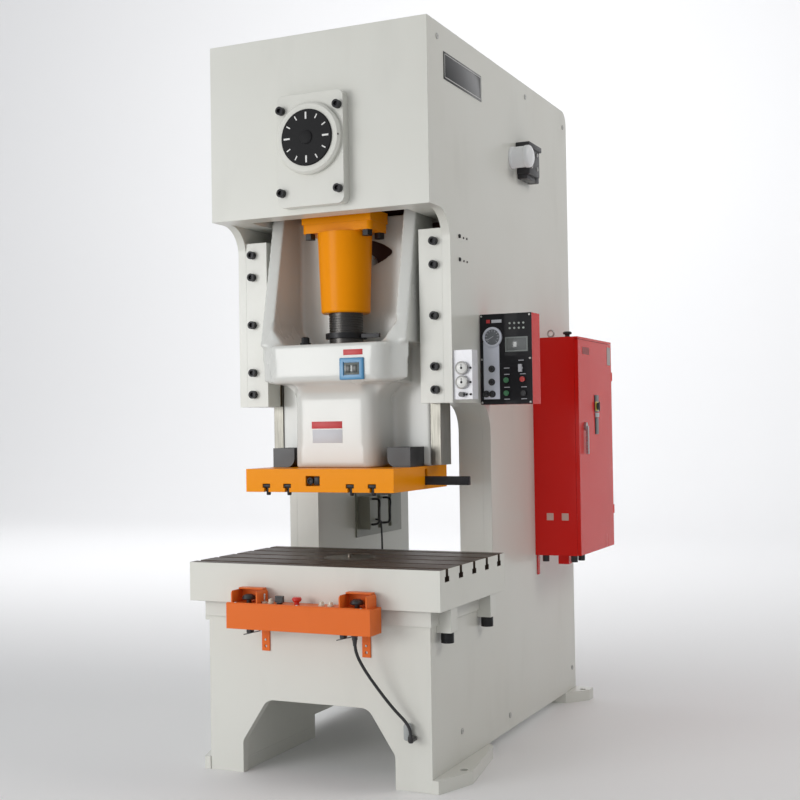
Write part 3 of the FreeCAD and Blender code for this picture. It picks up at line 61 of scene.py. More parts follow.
view_turn = Matrix((right, up, -forward)).transposed().to_4x4()
camera.matrix_world = Matrix.Translation(CAMERA_PLACE) @ view_turn
scene.collection.objects.link(camera)
scene.camera = camera

floor_material = bpy.data.materials.new("studio_floor")
floor_material.use_nodes = True
floor_nodes = floor_material.node_tree.nodes
floor_nodes["Principled BSDF"].inputs["Roughness"].default_value = 0.6
floor_cloud = floor_nodes.new("ShaderNodeTexNoise")
floor_cloud.inputs["Scale"].default_value = 0.35
floor_tones = floor_nodes.new("ShaderNodeValToRGB")
floor_tones.color_ramp.elements[0].color = (0.87, 0.87, 0.87, 1)
floor_tones.color_ramp.elements[1].color = (0.92, 0.92, 0.92, 1)
floor_links = floor_material.node_tree.links
floor_links.new(floor_cloud.outputs["Fac"], floor_tones.inputs["Fac"])
floor_links.new(floor_tones.outputs["Color"], floor_nodes["Principled BSDF"].inputs["Base Color"])

bpy.ops.mesh.primitive_plane_add(size=1, location=(0, -1, 0))
floor = bpy.context.object
floor.name = "studio_floor"
bpy.ops.object.mode_set(mode="EDIT")
bpy.ops.transform.resize(value=(40, 24, 1))
bpy.ops.mesh.select_mode(type="EDGE")
bpy.ops.mesh.select_all(action="DESELECT")
bpy.ops.object.mode_set(mode="OBJECT")
for edge in floor.data.edges:
    edge.select = all(floor.data.vertices[i].co.y > 0 for i in edge.vertices)
bpy.ops.object.mode_set(mode="EDIT")
SWEEP, STEPS = 6.0, 10
for i in range(STEPS):
    before, after = (math.pi / 2 * k / STEPS for k in (i, i + 1))
    step = (0, SWEEP * (math.sin(after) - math.sin(before)), SWEEP * (math.cos(before) - math.cos(after)))
    bpy.ops.mesh.extrude_region_move(TRANSFORM_OT_translate={"value": step})
bpy.ops.mesh.extrude_region_move(TRANSFORM_OT_translate={"value": (0, 0, 12)})
bpy.ops.object.mode_set(mode="OBJECT")
bpy.ops.object.transform_apply(location=True, rotation=True, scale=True)
bpy.ops.object.shade_smooth()
floor.data.materials.append(floor_material)


def soft_box(name, place, aim, wide, high, power, tint):
    light = bpy.data.objects.new(name, bpy.data.lights.new(name, "AREA"))
    light.data.shape = "RECTANGLE"
    light.data.size = wide
    light.data.size_y = high
    light.data.energy = power
    light.data.color = tint
    light.matrix_world = Matrix.Translation(place) @ (
        (Vector(place) - Vector(aim)).to_track_quat("Z", "Y").to_matrix().to_4x4())
    scene.collection.objects.link(light)


soft_box("key_light", (-3.9, -7.6, 2.2), (0, -0.4, 1.4), 4.0, 2.6, 190, (1.0, 1.0, 0.99))
soft_box("side_light", (5.6, 0.6, 5.4), (0.5, 0.2, 2.9), 2.4, 2.4, 90, (1.0, 0.96, 0.90))
soft_box("backdrop_light", (-5.0, 3.0, 9.5), (-8.0, 17.0, 4.0), 10.0, 4.0, 1080, (0.98, 0.98, 1.0))
world = bpy.data.worlds.new("studio")
scene.world = world
world.use_nodes = True
world.node_tree.nodes["Background"].inputs["Color"].default_value = (0.95, 0.96, 0.98, 1)
sky = world.node_tree
lean = sky.nodes.new("ShaderNodeVectorMath")
lean.operation = "DOT_PRODUCT"
lean.inputs[1].default_value = (-0.7, -0.7, 0.15)
sky.links.new(sky.nodes.new("ShaderNodeTexCoord").outputs["Generated"], lean.inputs[0])
fill = sky.nodes.new("ShaderNodeMapRange")
for label, value in (("From Min", -1.0), ("From Max", 1.0), ("To Min", 0.06), ("To Max", 0.80)):
    fill.inputs[label].default_value = value
sky.links.new(lean.outputs["Value"], fill.inputs["Value"])
sky.links.new(fill.outputs["Result"], sky.nodes["Background"].inputs["Strength"])
scene.view_settings.view_transform = "Standard"

# ==== Console cable ==================================================================
# Rubber-sheathed control cable. It leaves the gland under the two-hand console and goes
# into the socket on the base. Its sheath is stiff enough to swing out in one long bow.


def material_parts(name):
    """A new material, its node tree and its Principled shader."""
    made = bpy.data.materials.new(name)
    made.use_nodes = True
    return made, made.node_tree, made.node_tree.nodes["Principled BSDF"]


def effect_group(name, inputs, outputs):
    """An empty shader node group with named sockets, and its two end nodes."""
    made = bpy.data.node_groups.new(name, "ShaderNodeTree")
    for label, kind, start in inputs:
        socket = made.interface.new_socket(label, in_out="INPUT", socket_type=kind)
        socket.default_value = start
    for label, kind in outputs:
        made.interface.new_socket(label, in_out="OUTPUT", socket_type=kind)
    return made, made.nodes.new("NodeGroupInput"), made.nodes.new("NodeGroupOutput")


def math_node(tree, operation, first, second=None, clamp=False):
    """A Math node; first and second are sockets or numbers. Returns its output."""
    made = tree.nodes.new("ShaderNodeMath")
    made.operation = operation
    made.use_clamp = clamp
    for slot, value in zip(made.inputs, (first, second)):
        if isinstance(value, (int, float)):
            slot.default_value = value
        elif value is not None:
            tree.links.new(value, slot)
    return made.outputs[0]


def blend_colours(tree, share, first, second):
    """Mixes two colours, each a socket or a triple, by a socket or a number."""
    made = tree.nodes.new("ShaderNodeMix")
    made.data_type = "RGBA"
    for slot, value in zip((made.inputs["Factor"], made.inputs[6], made.inputs[7]), (share, first, second)):
        if isinstance(value, (int, float)):
            slot.default_value = value
        elif isinstance(value, tuple):
            slot.default_value = (*value[:3], 1)
        else:
            tree.links.new(value, slot)
    return made.outputs[2]


def noise(tree, scale, detail=2.0, stretch=None):
    """Noise on Object coordinates, stretched where a triple of factors is given."""
    made = tree.nodes.new("ShaderNodeTexNoise")
    made.inputs["Scale"].default_value = scale
    made.inputs["Detail"].default_value = detail
    place = tree.nodes.new("ShaderNodeTexCoord").outputs["Object"]
    if stretch:
        mapping = tree.nodes.new("ShaderNodeMapping")
        mapping.inputs["Scale"].default_value = stretch
        tree.links.new(place, mapping.inputs["Vector"])
        place = mapping.outputs["Vector"]
    tree.links.new(place, made.inputs["Vector"])
    return made.outputs["Fac"]


def add_bump(tree, shader, height, strength, distance, normal=None):
    made = tree.nodes.new("ShaderNodeBump")
    made.inputs["Strength"].default_value = strength
    made.inputs["Distance"].default_value = distance
    tree.links.new(height, made.inputs["Height"])
    if normal is not None:
        tree.links.new(normal, made.inputs["Normal"])
    tree.links.new(made.outputs["Normal"], shader.inputs["Normal"])


def coloured(red, green, blue):
    """Linear colour from the 8-bit values of a colour card."""
    return tuple(c / 12.92 if c <= 0.04045 else ((c + 0.055) / 1.055) ** 2.4
                 for c in (red / 255, green / 255, blue / 255))


def moulded(name, tone, rough, stipple=0.15, sheen_coat=0.0):
    """Moulded plastic or rubber: fine stipple, uneven sheen, a little dust."""
    made, tree, shader = material_parts(name)
    cloud = noise(tree, 9.0, 3.0)
    dust = tuple(0.9 * c + 0.012 for c in tone)
    share = math_node(tree, "MULTIPLY", cloud, 0.6)
    tree.links.new(blend_colours(tree, share, tone, dust), shader.inputs["Base Color"])
    uneven = math_node(tree, "MULTIPLY", cloud, 0.25)
    tree.links.new(math_node(tree, "ADD", uneven, rough - 0.12), shader.inputs["Roughness"])
    shader.inputs["Coat Weight"].default_value = sheen_coat
    add_bump(tree, shader, noise(tree, 900.0, 1.0), stipple, 0.0004)
    return made


def paint_node(node, material):
    """Gives a CAD node its finish."""
    node_object = nodes[node]
    node_object.data.materials.clear()
    node_object.data.materials.append(material)


cable_sheath = moulded("cable_sheath", (0.018, 0.018, 0.02), 0.5, 0.3)
CABLE_ROUTE = (
    (0.243, -1.175, 0.625), (0.243, -1.175, 0.596), (0.251, -1.168, 0.556), (0.270, -1.157, 0.513),
    (0.293, -1.146, 0.472), (0.319, -1.135, 0.432), (0.346, -1.125, 0.393), (0.373, -1.116, 0.357),
    (0.400, -1.109, 0.326), (0.427, -1.106, 0.301), (0.446, -1.105, 0.277), (0.455, -1.104, 0.254),
    (0.455, -1.104, 0.234),
)
CABLE_RADIUS = 0.0065
cable_line = bpy.data.curves.new("console_lead", "CURVE")
cable_line.dimensions = "3D"
cable_line.bevel_depth = CABLE_RADIUS
cable_line.bevel_resolution = 6
cable_line.resolution_u = 12
cable_line.use_fill_caps = True
cable_spline = cable_line.splines.new("NURBS")
cable_spline.points.add(len(CABLE_ROUTE) - 1)
for point, spot in zip(cable_spline.points, CABLE_ROUTE):
    point.co = (*spot, 1)
cable_spline.order_u = 3
cable_spline.use_endpoint_u = True
cable_line.materials.append(cable_sheath)
cable = bpy.data.objects.new("console_lead", cable_line)
scene.collection.objects.link(cable)
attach(cable, "frame")
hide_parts("console_cable")

# ==== Welded frame ===================================================================
# Side plates, inner column walls, crown, bed and feet are 30 to 68 mm steel plate, welded
# and sprayed with a pale warm grey enamel. Its edges are broken by hand and rubbed bare.

rubbed, group_in, group_out = effect_group(
    "rubbed_edges",
    [("Radius", "NodeSocketFloat", 0.003), ("Break up", "NodeSocketFloat", 30.0)],
    [("Mask", "NodeSocketFloat"), ("Normal", "NodeSocketVector")])
rounding = rubbed.nodes.new("ShaderNodeBevel")
rounding.samples = 4
rubbed.links.new(group_in.outputs["Radius"], rounding.inputs["Radius"])
plain = rubbed.nodes.new("ShaderNodeNewGeometry")
facing = rubbed.nodes.new("ShaderNodeVectorMath")
facing.operation = "DOT_PRODUCT"
rubbed.links.new(rounding.outputs["Normal"], facing.inputs[0])
rubbed.links.new(plain.outputs["Normal"], facing.inputs[1])
edge_share = math_node(rubbed, "MULTIPLY", math_node(rubbed, "SUBTRACT", 1.0, facing.outputs["Value"]), 5.0,
                       clamp=True)
speckle = rubbed.nodes.new("ShaderNodeTexNoise")
speckle.inputs["Detail"].default_value = 4.0
rubbed.links.new(group_in.outputs["Break up"], speckle.inputs["Scale"])
rubbed.links.new(rubbed.nodes.new("ShaderNodeTexCoord").outputs["Object"], speckle.inputs["Vector"])
patchy = math_node(rubbed, "MULTIPLY", math_node(rubbed, "SUBTRACT", speckle.outputs["Fac"], 0.45), 6.0,
                   clamp=True)
rubbed.links.new(math_node(rubbed, "MULTIPLY", edge_share, patchy), group_out.inputs["Mask"])
rubbed.links.new(rounding.outputs["Normal"], group_out.inputs["Normal"])

sprayed, group_in, group_out = effect_group(
    "sprayed_coat",
    [("Tone", "NodeSocketColor", (0.8, 0.8, 0.8, 1)), ("Shade", "NodeSocketColor", (0.7, 0.7, 0.7, 1)),
     ("Smudge", "NodeSocketColor", (0.5, 0.5, 0.5, 1)), ("Sheen", "NodeSocketFloat", 0.35)],
    [("Color", "NodeSocketColor"), ("Roughness", "NodeSocketFloat"), ("Height", "NodeSocketFloat")])
broad = noise(sprayed, 1.6, 3.0)
smears = noise(sprayed, 5.0, 6.0, (1.0, 1.0, 0.35))
tinted = blend_colours(sprayed, broad, group_in.outputs["Tone"], group_in.outputs["Shade"])
smear_share = math_node(sprayed, "MULTIPLY", math_node(sprayed, "SUBTRACT", smears, 0.56), 2.2, clamp=True)
sprayed.links.new(blend_colours(sprayed, math_node(sprayed, "MULTIPLY", smear_share, 0.35), tinted,
                                group_in.outputs["Smudge"]), group_out.inputs["Color"])
sheen = math_node(sprayed, "ADD", group_in.outputs["Sheen"], math_node(sprayed, "MULTIPLY", smears, 0.22))
sprayed.links.new(math_node(sprayed, "SUBTRACT", sheen, 0.08), group_out.inputs["Roughness"])
peel = math_node(sprayed, "MULTIPLY", noise(sprayed, 240.0, 1.0), 0.5)
sprayed.links.new(math_node(sprayed, "ADD", peel, noise(sprayed, 14.0, 2.0)), group_out.inputs["Height"])


def place_group(tree, group, **values):
    """One use of an effect group with its own values."""
    made = tree.nodes.new("ShaderNodeGroup")
    made.node_tree = group
    for label, value in values.items():
        socket = made.inputs[label.replace("_", " ")]
        socket.default_value = (*value, 1) if isinstance(value, tuple) else value
    return made


def enamel(name, tone, shade, sheen=0.34, coat=0.25, under=(0.30, 0.29, 0.27), rub=0.35, radius=0.003,
           gloss=0.5):
    """Sprayed enamel with orange peel, smudges and edges rubbed to the primer."""
    made, tree, shader = material_parts(name)
    spray = place_group(tree, sprayed, Tone=tone, Shade=shade, Smudge=tuple(0.72 * c for c in shade),
                        Sheen=sheen)
    rub_node = place_group(tree, rubbed, Radius=radius, Break_up=26.0)
    share = math_node(tree, "MULTIPLY", rub_node.outputs["Mask"], rub)
    tree.links.new(blend_colours(tree, share, spray.outputs["Color"], under), shader.inputs["Base Color"])
    tree.links.new(spray.outputs["Roughness"], shader.inputs["Roughness"])
    shader.inputs["Specular IOR Level"].default_value = gloss
    shader.inputs["Coat Weight"].default_value = coat
    shader.inputs["Coat Roughness"].default_value = 0.12
    add_bump(tree, shader, spray.outputs["Height"], 0.08, 0.002, rub_node.outputs["Normal"])
    return made


frame_enamel = enamel("frame_enamel", coloured(222, 223, 217), coloured(214, 213, 204), rub=0.25)
for node in ("side_plates", "column_boxes", "gib_housings", "front_plates", "crown_decks", "bed_plate",
             "feet", "rear_guard", "table_lugs", "bearing_cover"):
    paint_node(node, frame_enamel)
brown_primer = enamel("brown_primer", coloured(92, 58, 50), coloured(80, 50, 44), sheen=0.6, coat=0.0)
paint_node("bearing_plates", brown_primer)

# ==== Name plate and plugs ===========================================================
# A thin black plate, left bare, is riveted high on the right side plate. Turned plugs
# close the lifting and lubrication holes, and small screws hold the pipe clips inside.


def piece_from_operator(name):
    """Names the piece that an operator has just added."""
    made = bpy.context.object
    made.name = name
    made.data.name = name
    return made


def settle(piece, body, material, angle=35):
    """Applies the piece's place, smooths its round faces, and fixes it to its body."""
    bpy.ops.object.select_all(action="DESELECT")
    bpy.context.view_layer.objects.active = piece
    piece.select_set(True)
    bpy.ops.object.transform_apply(location=True, rotation=True, scale=True)
    bpy.ops.object.shade_smooth_by_angle(angle=math.radians(angle))
    piece.data.materials.clear()
    piece.data.materials.append(material)
    piece.select_set(False)
    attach(piece, body)
    return piece


def bevelled(piece, width, segments=2):
    """Breaks every sharp edge of the piece."""
    made = piece.modifiers.new("broken_edges", "BEVEL")
    made.width = width
    made.segments = segments
    made.limit_method = "ANGLE"
    made.angle_limit = math.radians(30)
    bpy.context.view_layer.objects.active = piece
    bpy.ops.object.modifier_apply(modifier=made.name)


def slab(name, low, high, edge=0.001, segments=2):
    """A rectangular bar or plate between two corners, with broken edges."""
    bpy.ops.object.select_all(action="DESELECT")
    low, high = Vector(low), Vector(high)
    bpy.ops.mesh.primitive_cube_add(size=1, location=(low + high) / 2)
    made = piece_from_operator(name)
    made.scale = high - low
    bpy.ops.object.transform_apply(location=True, rotation=True, scale=True)
    bevelled(made, edge, segments)
    return made


def stepped(name, foot, direction, steps, sides=40, edge=0.0006):
    """A turned piece: (radius, height) steps from its foot along a direction."""
    bpy.ops.object.select_all(action="DESELECT")
    (radius, first), rest = steps[0], steps[1:]
    bpy.ops.mesh.primitive_cylinder_add(vertices=sides, radius=radius, depth=first,
                                        location=(0, 0, first / 2))
    made = piece_from_operator(name)
    bpy.ops.object.transform_apply(location=True, rotation=True, scale=True)
    bpy.ops.object.mode_set(mode="EDIT")
    bpy.ops.mesh.select_mode(type="FACE")
    bpy.ops.mesh.select_all(action="DESELECT")
    bpy.ops.object.mode_set(mode="OBJECT")
    for face in made.data.polygons:
        face.select = face.normal.z > 0.9
    bpy.ops.object.mode_set(mode="EDIT")
    at = first
    for next_radius, next_height in rest:
        bpy.ops.mesh.extrude_region_move(TRANSFORM_OT_translate={"value": (0, 0, next_height - at)})
        grow = next_radius / radius
        bpy.ops.transform.resize(value=(grow, grow, 1), center_override=(0, 0, next_height))
        radius, at = next_radius, next_height
    bpy.ops.object.mode_set(mode="OBJECT")
    if edge:
        bevelled(made, edge)
    made.rotation_mode = "QUATERNION"
    made.rotation_quaternion = Vector(direction).to_track_quat("Z", "Y")
    made.location = foot
    bpy.ops.object.transform_apply(location=True, rotation=True, scale=True)
    return made


def merged(name, pieces):
    """Joins loose pieces of one kind into one object."""
    bpy.ops.object.select_all(action="DESELECT")
    for piece in pieces:
        piece.select_set(True)
    bpy.context.view_layer.objects.active = pieces[0]
    bpy.ops.object.join()
    return piece_from_operator(name)


def copied(piece, move):
    """A copy with its own mesh, placed by a shift or a matrix."""
    made = piece.copy()
    made.data = piece.data.copy()
    made.data.transform(move if isinstance(move, Matrix) else Matrix.Translation(move))
    scene.collection.objects.link(made)
    return made


def bare_metal(name, tone, shade, rough, grain=(1.0, 1.0, 1.0), grain_scale=60.0, coat=0.0, metal=1.0,
               bump=0.12):
    """Machined or ground metal: grain along one direction, stains and rubbed edges."""
    made, tree, shader = material_parts(name)
    streaks = noise(tree, grain_scale, 4.0, grain)
    stains = noise(tree, 3.5, 5.0)
    toned = blend_colours(tree, streaks, tone, shade)
    share = math_node(tree, "MULTIPLY", math_node(tree, "SUBTRACT", stains, 0.5), 1.6, clamp=True)
    stained = blend_colours(tree, share, toned, tuple(0.6 * c for c in shade))
    rub_node = place_group(tree, rubbed, Radius=0.002, Break_up=40.0)
    bright = tuple(min(1.0, 1.5 * c + 0.05) for c in tone)
    tree.links.new(blend_colours(tree, math_node(tree, "MULTIPLY", rub_node.outputs["Mask"], 0.5), stained,
                                 bright), shader.inputs["Base Color"])
    uneven = math_node(tree, "ADD", math_node(tree, "MULTIPLY", stains, 0.2),
                       math_node(tree, "MULTIPLY", streaks, 0.14))
    tree.links.new(math_node(tree, "ADD", uneven, rough - 0.17), shader.inputs["Roughness"])
    shader.inputs["Metallic"].default_value = metal
    shader.inputs["Coat Weight"].default_value = coat
    add_bump(tree, shader, streaks, bump, 0.0006, rub_node.outputs["Normal"])
    return made


side_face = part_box("side_plates")[1].x
black_lacquer = enamel("black_lacquer", (0.012, 0.012, 0.013), (0.02, 0.02, 0.021), sheen=0.3, coat=0.4,
                       rub=0.15)
plate_line = enamel("plate_line", (0.72, 0.72, 0.70), (0.64, 0.64, 0.62), sheen=0.4, rub=0.1)
bright_steel = bare_metal("bright_steel", (0.62, 0.62, 0.60), (0.42, 0.42, 0.41), 0.32, (1, 1, 12))
black_steel = bare_metal("black_steel", (0.030, 0.030, 0.032), (0.018, 0.018, 0.020), 0.42, metal=0.6)

PLATE_FRONT, PLATE_BACK, PLATE_LOW, PLATE_HIGH = -0.827, -0.381, 2.971, 3.090
settle(slab("name_plate", (side_face, PLATE_FRONT, PLATE_LOW), (side_face + 0.0025, PLATE_BACK, PLATE_HIGH),
            0.0008), "frame", black_lacquer)
INSET, LINE = 0.008, 0.0035
y0, y1, z0, z1 = PLATE_FRONT + INSET, PLATE_BACK - INSET, PLATE_LOW + INSET, PLATE_HIGH - INSET
level = slab("line", (side_face + 0.002, y0, z0), (side_face + 0.0031, y1, z0 + LINE), 0.0002, 1)
upright = slab("line", (side_face + 0.002, y0, z0), (side_face + 0.0031, y0 + LINE, z1), 0.0002, 1)
lines = [level, upright, copied(level, (0, 0, z1 - z0 - LINE)), copied(upright, (0, y1 - y0 - LINE, 0))]
settle(merged("name_plate_border", lines), "frame", plate_line)

PLUGS = ((-0.893, 3.136), (0.240, 3.136), (0.862, 3.110), (-0.736, 0.182), (-0.131, 0.122), (0.866, 0.170))
plug = stepped("plug", (side_face, *PLUGS[0]), (1, 0, 0),
               [(0.013, 0.002), (0.0125, 0.0035), (0.006, 0.0035), (0.0055, 0.0012)], 24)
plugs = [copied(plug, (0, y - PLUGS[0][0], z - PLUGS[0][1])) for y, z in PLUGS[1:]]
settle(merged("hole_plugs", [plug, *plugs]), "frame", bright_steel)
screw = stepped("clip_screw", (side_face, -0.678, 2.317), (1, 0, 0),
                [(0.009, 0.004), (0.008, 0.006), (0.004, 0.006), (0.004, 0.003)], 20)
pin = stepped("clip_pin", (side_face, -0.628, 2.315), (1, 0, 0), [(0.0045, 0.002), (0.004, 0.0035)], 16)
clip = merged("clip_screws", [screw, pin, copied(pin, (0, 0.038, 0))])
settle(merged("clip_screws", [clip, copied(clip, (0, 0, -0.102))]), "frame", black_steel)
paint_node("frame_bolts", black_steel)

# ==== Bearing cover dial =============================================================
# The crank angle shows on a black disc with white ticks, longer at the quarters. It is
# screwed to the crankshaft's end, and a domed cap hides the screw.
dial_low, dial_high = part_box("angle_dial")
dial_face = moulded("dial_face", (0.010, 0.010, 0.011), 0.6, 0.1)
dial_face.node_tree.nodes["Principled BSDF"].inputs["Specular IOR Level"].default_value = 0.2
paint_node("angle_dial", dial_face)
tick_white = moulded("tick_white", (0.80, 0.80, 0.78), 0.45, 0.1)
DIAL_CENTRE = Vector((0, dial_low.y, (dial_low.z + dial_high.z) / 2))
long_tick = slab("tick", (-0.0038, -0.0012, 0.078), (0.0038, 0.0006, 0.108), 0.0004, 1)
short_tick = slab("tick", (-0.0026, -0.0012, 0.088), (0.0026, 0.0006, 0.108), 0.0004, 1)
ticks = []
for i in range(12):
    turned = Matrix.Translation(DIAL_CENTRE) @ Matrix.Rotation(math.radians(30 * i), 4, "Y")
    ticks.append(copied(short_tick if i % 3 else long_tick, turned))
bpy.data.objects.remove(long_tick)
bpy.data.objects.remove(short_tick)
settle(merged("dial_ticks", ticks), "crank", tick_white)
settle(stepped("dial_cap", DIAL_CENTRE + Vector((0, 0.002, 0)), (0, -1, 0),
               [(0.030, 0.004), (0.028, 0.0065), (0.020, 0.0085), (0.008, 0.0095)], 48), "crank",
       dial_face)
settle(slab("dial_pointer", (0.124, dial_low.y + 0.0085, DIAL_CENTRE.z - 0.004),
            (0.150, dial_low.y + 0.0125, DIAL_CENTRE.z + 0.004), 0.001), "frame",
       black_steel)

# ==== Table ==========================================================================
# Cast bolster with a ground top. Its five T-slots run from side to side. The top and the
# slots are bare and oiled; the outer sides are enamelled like the frame.
table_low, table_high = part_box("bolster_table")
table_finish, tree, shader = material_parts("table_finish")
spray = place_group(tree, sprayed, Tone=coloured(226, 226, 219), Shade=coloured(219, 219, 211),
                    Smudge=(0.42, 0.41, 0.38), Sheen=0.34)
rub_node = place_group(tree, rubbed, Radius=0.003, Break_up=26.0)
spot = tree.nodes.new("ShaderNodeSeparateXYZ")
tree.links.new(tree.nodes.new("ShaderNodeTexCoord").outputs["Object"], spot.inputs["Vector"])
SKIN = 0.0006
sides = math_node(tree, "GREATER_THAN", math_node(tree, "ABSOLUTE", spot.outputs["X"]), table_high.x - SKIN)
fronts = math_node(tree, "LESS_THAN", spot.outputs["Y"], table_low.y + SKIN)
backs = math_node(tree, "GREATER_THAN", spot.outputs["Y"], table_high.y - SKIN)
painted = math_node(tree, "MAXIMUM", math_node(tree, "MAXIMUM", sides, fronts), backs)
grinding = noise(tree, 26.0, 5.0, (0.25, 14.0, 1.0))
film = noise(tree, 4.0, 4.0)
ground = blend_colours(tree, grinding, coloured(100, 86, 74), coloured(70, 59, 50))
oiled = blend_colours(tree, math_node(tree, "MULTIPLY", film, 0.8), ground, coloured(78, 66, 58))
tree.links.new(blend_colours(tree, painted, oiled, spray.outputs["Color"]), shader.inputs["Base Color"])
bare = math_node(tree, "SUBTRACT", 1.0, painted)
tree.links.new(math_node(tree, "MULTIPLY", bare, 0.35), shader.inputs["Metallic"])
shader.inputs["Specular IOR Level"].default_value = 0.25
bare_rough = math_node(tree, "ADD", math_node(tree, "MULTIPLY", film, 0.25), 0.34)
rough_mix = tree.nodes.new("ShaderNodeMix")
tree.links.new(painted, rough_mix.inputs["Factor"])
tree.links.new(bare_rough, rough_mix.inputs[2])
tree.links.new(spray.outputs["Roughness"], rough_mix.inputs[3])
tree.links.new(rough_mix.outputs[0], shader.inputs["Roughness"])
add_bump(tree, shader, grinding, 0.05, 0.0008, rub_node.outputs["Normal"])
paint_node("bolster_table", table_finish)
insert_steel = bare_metal("insert_steel", coloured(150, 142, 132), coloured(110, 102, 94), 0.30,
                          (14, 0.5, 1))
paint_node("bolster_insert", insert_steel)

# ==== Crank drive ====================================================================
# Ground crankshaft, cut gears, cast flywheel and motor behind the crown plates. They are
# seen through the crown from behind and below, and keep a film of dark oil.
oiled_steel = bare_metal("oiled_steel", (0.46, 0.44, 0.41), (0.28, 0.27, 0.25), 0.30, (1, 8, 1))
bronze = bare_metal("bronze", (0.60, 0.40, 0.17), (0.42, 0.27, 0.11), 0.34, (1, 8, 1))
cast_iron = bare_metal("cast_iron", (0.16, 0.16, 0.165), (0.09, 0.09, 0.095), 0.5, grain_scale=140.0,
                       metal=0.7, bump=0.3)
belt_rubber = moulded("belt_rubber", (0.016, 0.016, 0.017), 0.62, 0.4)
motor_enamel = enamel("motor_enamel", coloured(96, 112, 122), coloured(84, 98, 108), sheen=0.4)
for node, material in (("crankshaft", oiled_steel), ("bronze_linings", bronze), ("main_gear", cast_iron),
                       ("pinion_shaft", oiled_steel), ("clutch_brake", cast_iron), ("flywheel", cast_iron),
                       ("motor_pulley", cast_iron), ("motor", motor_enamel), ("drive_belts", belt_rubber),
                       ("balance_cylinders", cast_iron), ("balance_rods", bright_steel)):
    paint_node(node, material)

# ==== Connecting rod =================================================================
# Orange casting on the crank pin. Its barrel holds the adjusting screw, whose dark thread
# shows below it, and a split ring with a hand lever locks the screw.
orange_enamel = enamel("orange_enamel", coloured(250, 156, 2), coloured(244, 146, 1), sheen=0.28, coat=0.04,
                       rub=0.2, gloss=0.08)
dark_steel = bare_metal("dark_steel", (0.11, 0.105, 0.10), (0.055, 0.052, 0.05), 0.34, (1, 1, 10),
                        metal=0.85)
for node, material in (("rod_big_end", orange_enamel), ("rod_barrel", orange_enamel),
                       ("rod_bolts", black_steel), ("adjusting_screw", dark_steel),
                       ("screw_clamp", black_steel)):
    paint_node(node, material)

# ==== Slide ==========================================================================
# White casting: a round-cornered block that holds the ball, a neck below it, wings with
# steel guide rails, and two arms joined by a web with an eye-shaped window.


def wedge(name, corners, start, end, axis):
    """A three-sided bar that fills a corner: its section's points, then its two ends."""
    bpy.ops.object.select_all(action="DESELECT")
    bpy.ops.mesh.primitive_cylinder_add(vertices=3, radius=1, depth=1)
    made = piece_from_operator(name)
    angles = sorted(made.data.vertices, key=lambda v: (v.co.z, math.atan2(v.co.y, v.co.x)))
    for level, ring in ((start, angles[:3]), (end, angles[3:])):
        for vertex, (first, second) in zip(ring, corners):
            spot = [first, second]
            spot.insert("XYZ".index(axis), level)
            vertex.co = spot
    bpy.ops.object.mode_set(mode="EDIT")
    bpy.ops.mesh.select_all(action="SELECT")
    bpy.ops.mesh.normals_make_consistent(inside=False)
    bpy.ops.object.mode_set(mode="OBJECT")
    return made


def cast_skin(name, node, fills, voxel, soft_places):
    """One softened skin over a CAD casting and the bars that fill its inner corners."""
    bpy.ops.object.select_all(action="DESELECT")
    made = bpy.data.objects.new(name, nodes[node].data.copy())
    scene.collection.objects.link(made)
    made = merged(name, [made, *fills])
    bpy.ops.object.mode_set(mode="EDIT")
    bpy.ops.mesh.select_all(action="SELECT")
    bpy.ops.mesh.remove_doubles(threshold=0.00005)
    bpy.ops.object.mode_set(mode="OBJECT")
    remesh = made.modifiers.new("skin", "REMESH")
    remesh.mode = "VOXEL"
    remesh.voxel_size = voxel
    bpy.ops.object.modifier_apply(modifier=remesh.name)
    soft = made.vertex_groups.new(name="soft")
    for low, high in soft_places:
        inside = [v.index for v in made.data.vertices
                  if all(a <= c <= b for a, c, b in zip(low, v.co, high))]
        soft.add(inside, 1.0, "REPLACE")
    for rounds, vertex_group in ((5, ""), (45, soft.name)):
        smooth = made.modifiers.new("cast_radius", "SMOOTH")
        smooth.factor = 0.5
        smooth.iterations = rounds
        smooth.vertex_group = vertex_group
        bpy.ops.object.modifier_apply(modifier=smooth.name)
    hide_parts(node)
    return made


body_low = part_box("slide_body")[0]
BLOCK_FRONT, NECK_FRONT = body_low.y, body_low.y + 0.075
BLOCK_LOW, BLOCK_TOP = 1.685, 1.855
BLOCK_HALF, NECK_HALF, ARM_INNER, ARM_OUTER = 0.290, 0.195, 0.300, 0.360
fills = [wedge("fill_front",
               ((NECK_FRONT + 0.002, BLOCK_LOW - 0.050), (NECK_FRONT + 0.002, BLOCK_LOW + 0.002),
                (NECK_FRONT - 0.050, BLOCK_LOW + 0.002)), -NECK_HALF + 0.03, NECK_HALF - 0.03, "X")]
for side in (-1, 1):
    neck, outer, inner = side * (NECK_HALF - 0.002), side * (NECK_HALF + 0.060), side * (ARM_INNER + 0.002)
    fills.append(wedge("fill_side",
                       ((neck, BLOCK_LOW - 0.060), (neck, BLOCK_LOW + 0.002), (outer, BLOCK_LOW + 0.002)),
                       NECK_FRONT + 0.035, -0.566, "Y"))
    fills.append(wedge("fill_top",
                       ((inner, BLOCK_TOP - 0.002), (inner, BLOCK_TOP + 0.085),
                        (inner - side * 0.07, BLOCK_TOP - 0.002)), -0.878, -0.566, "Y"))
    fills.append(wedge("fill_flank",
                       ((side * (BLOCK_HALF - 0.002), -0.900), (side * ARM_OUTER, -0.855),
                        (side * (BLOCK_HALF - 0.002), -0.800)), BLOCK_LOW + 0.004, BLOCK_TOP, "Z"))
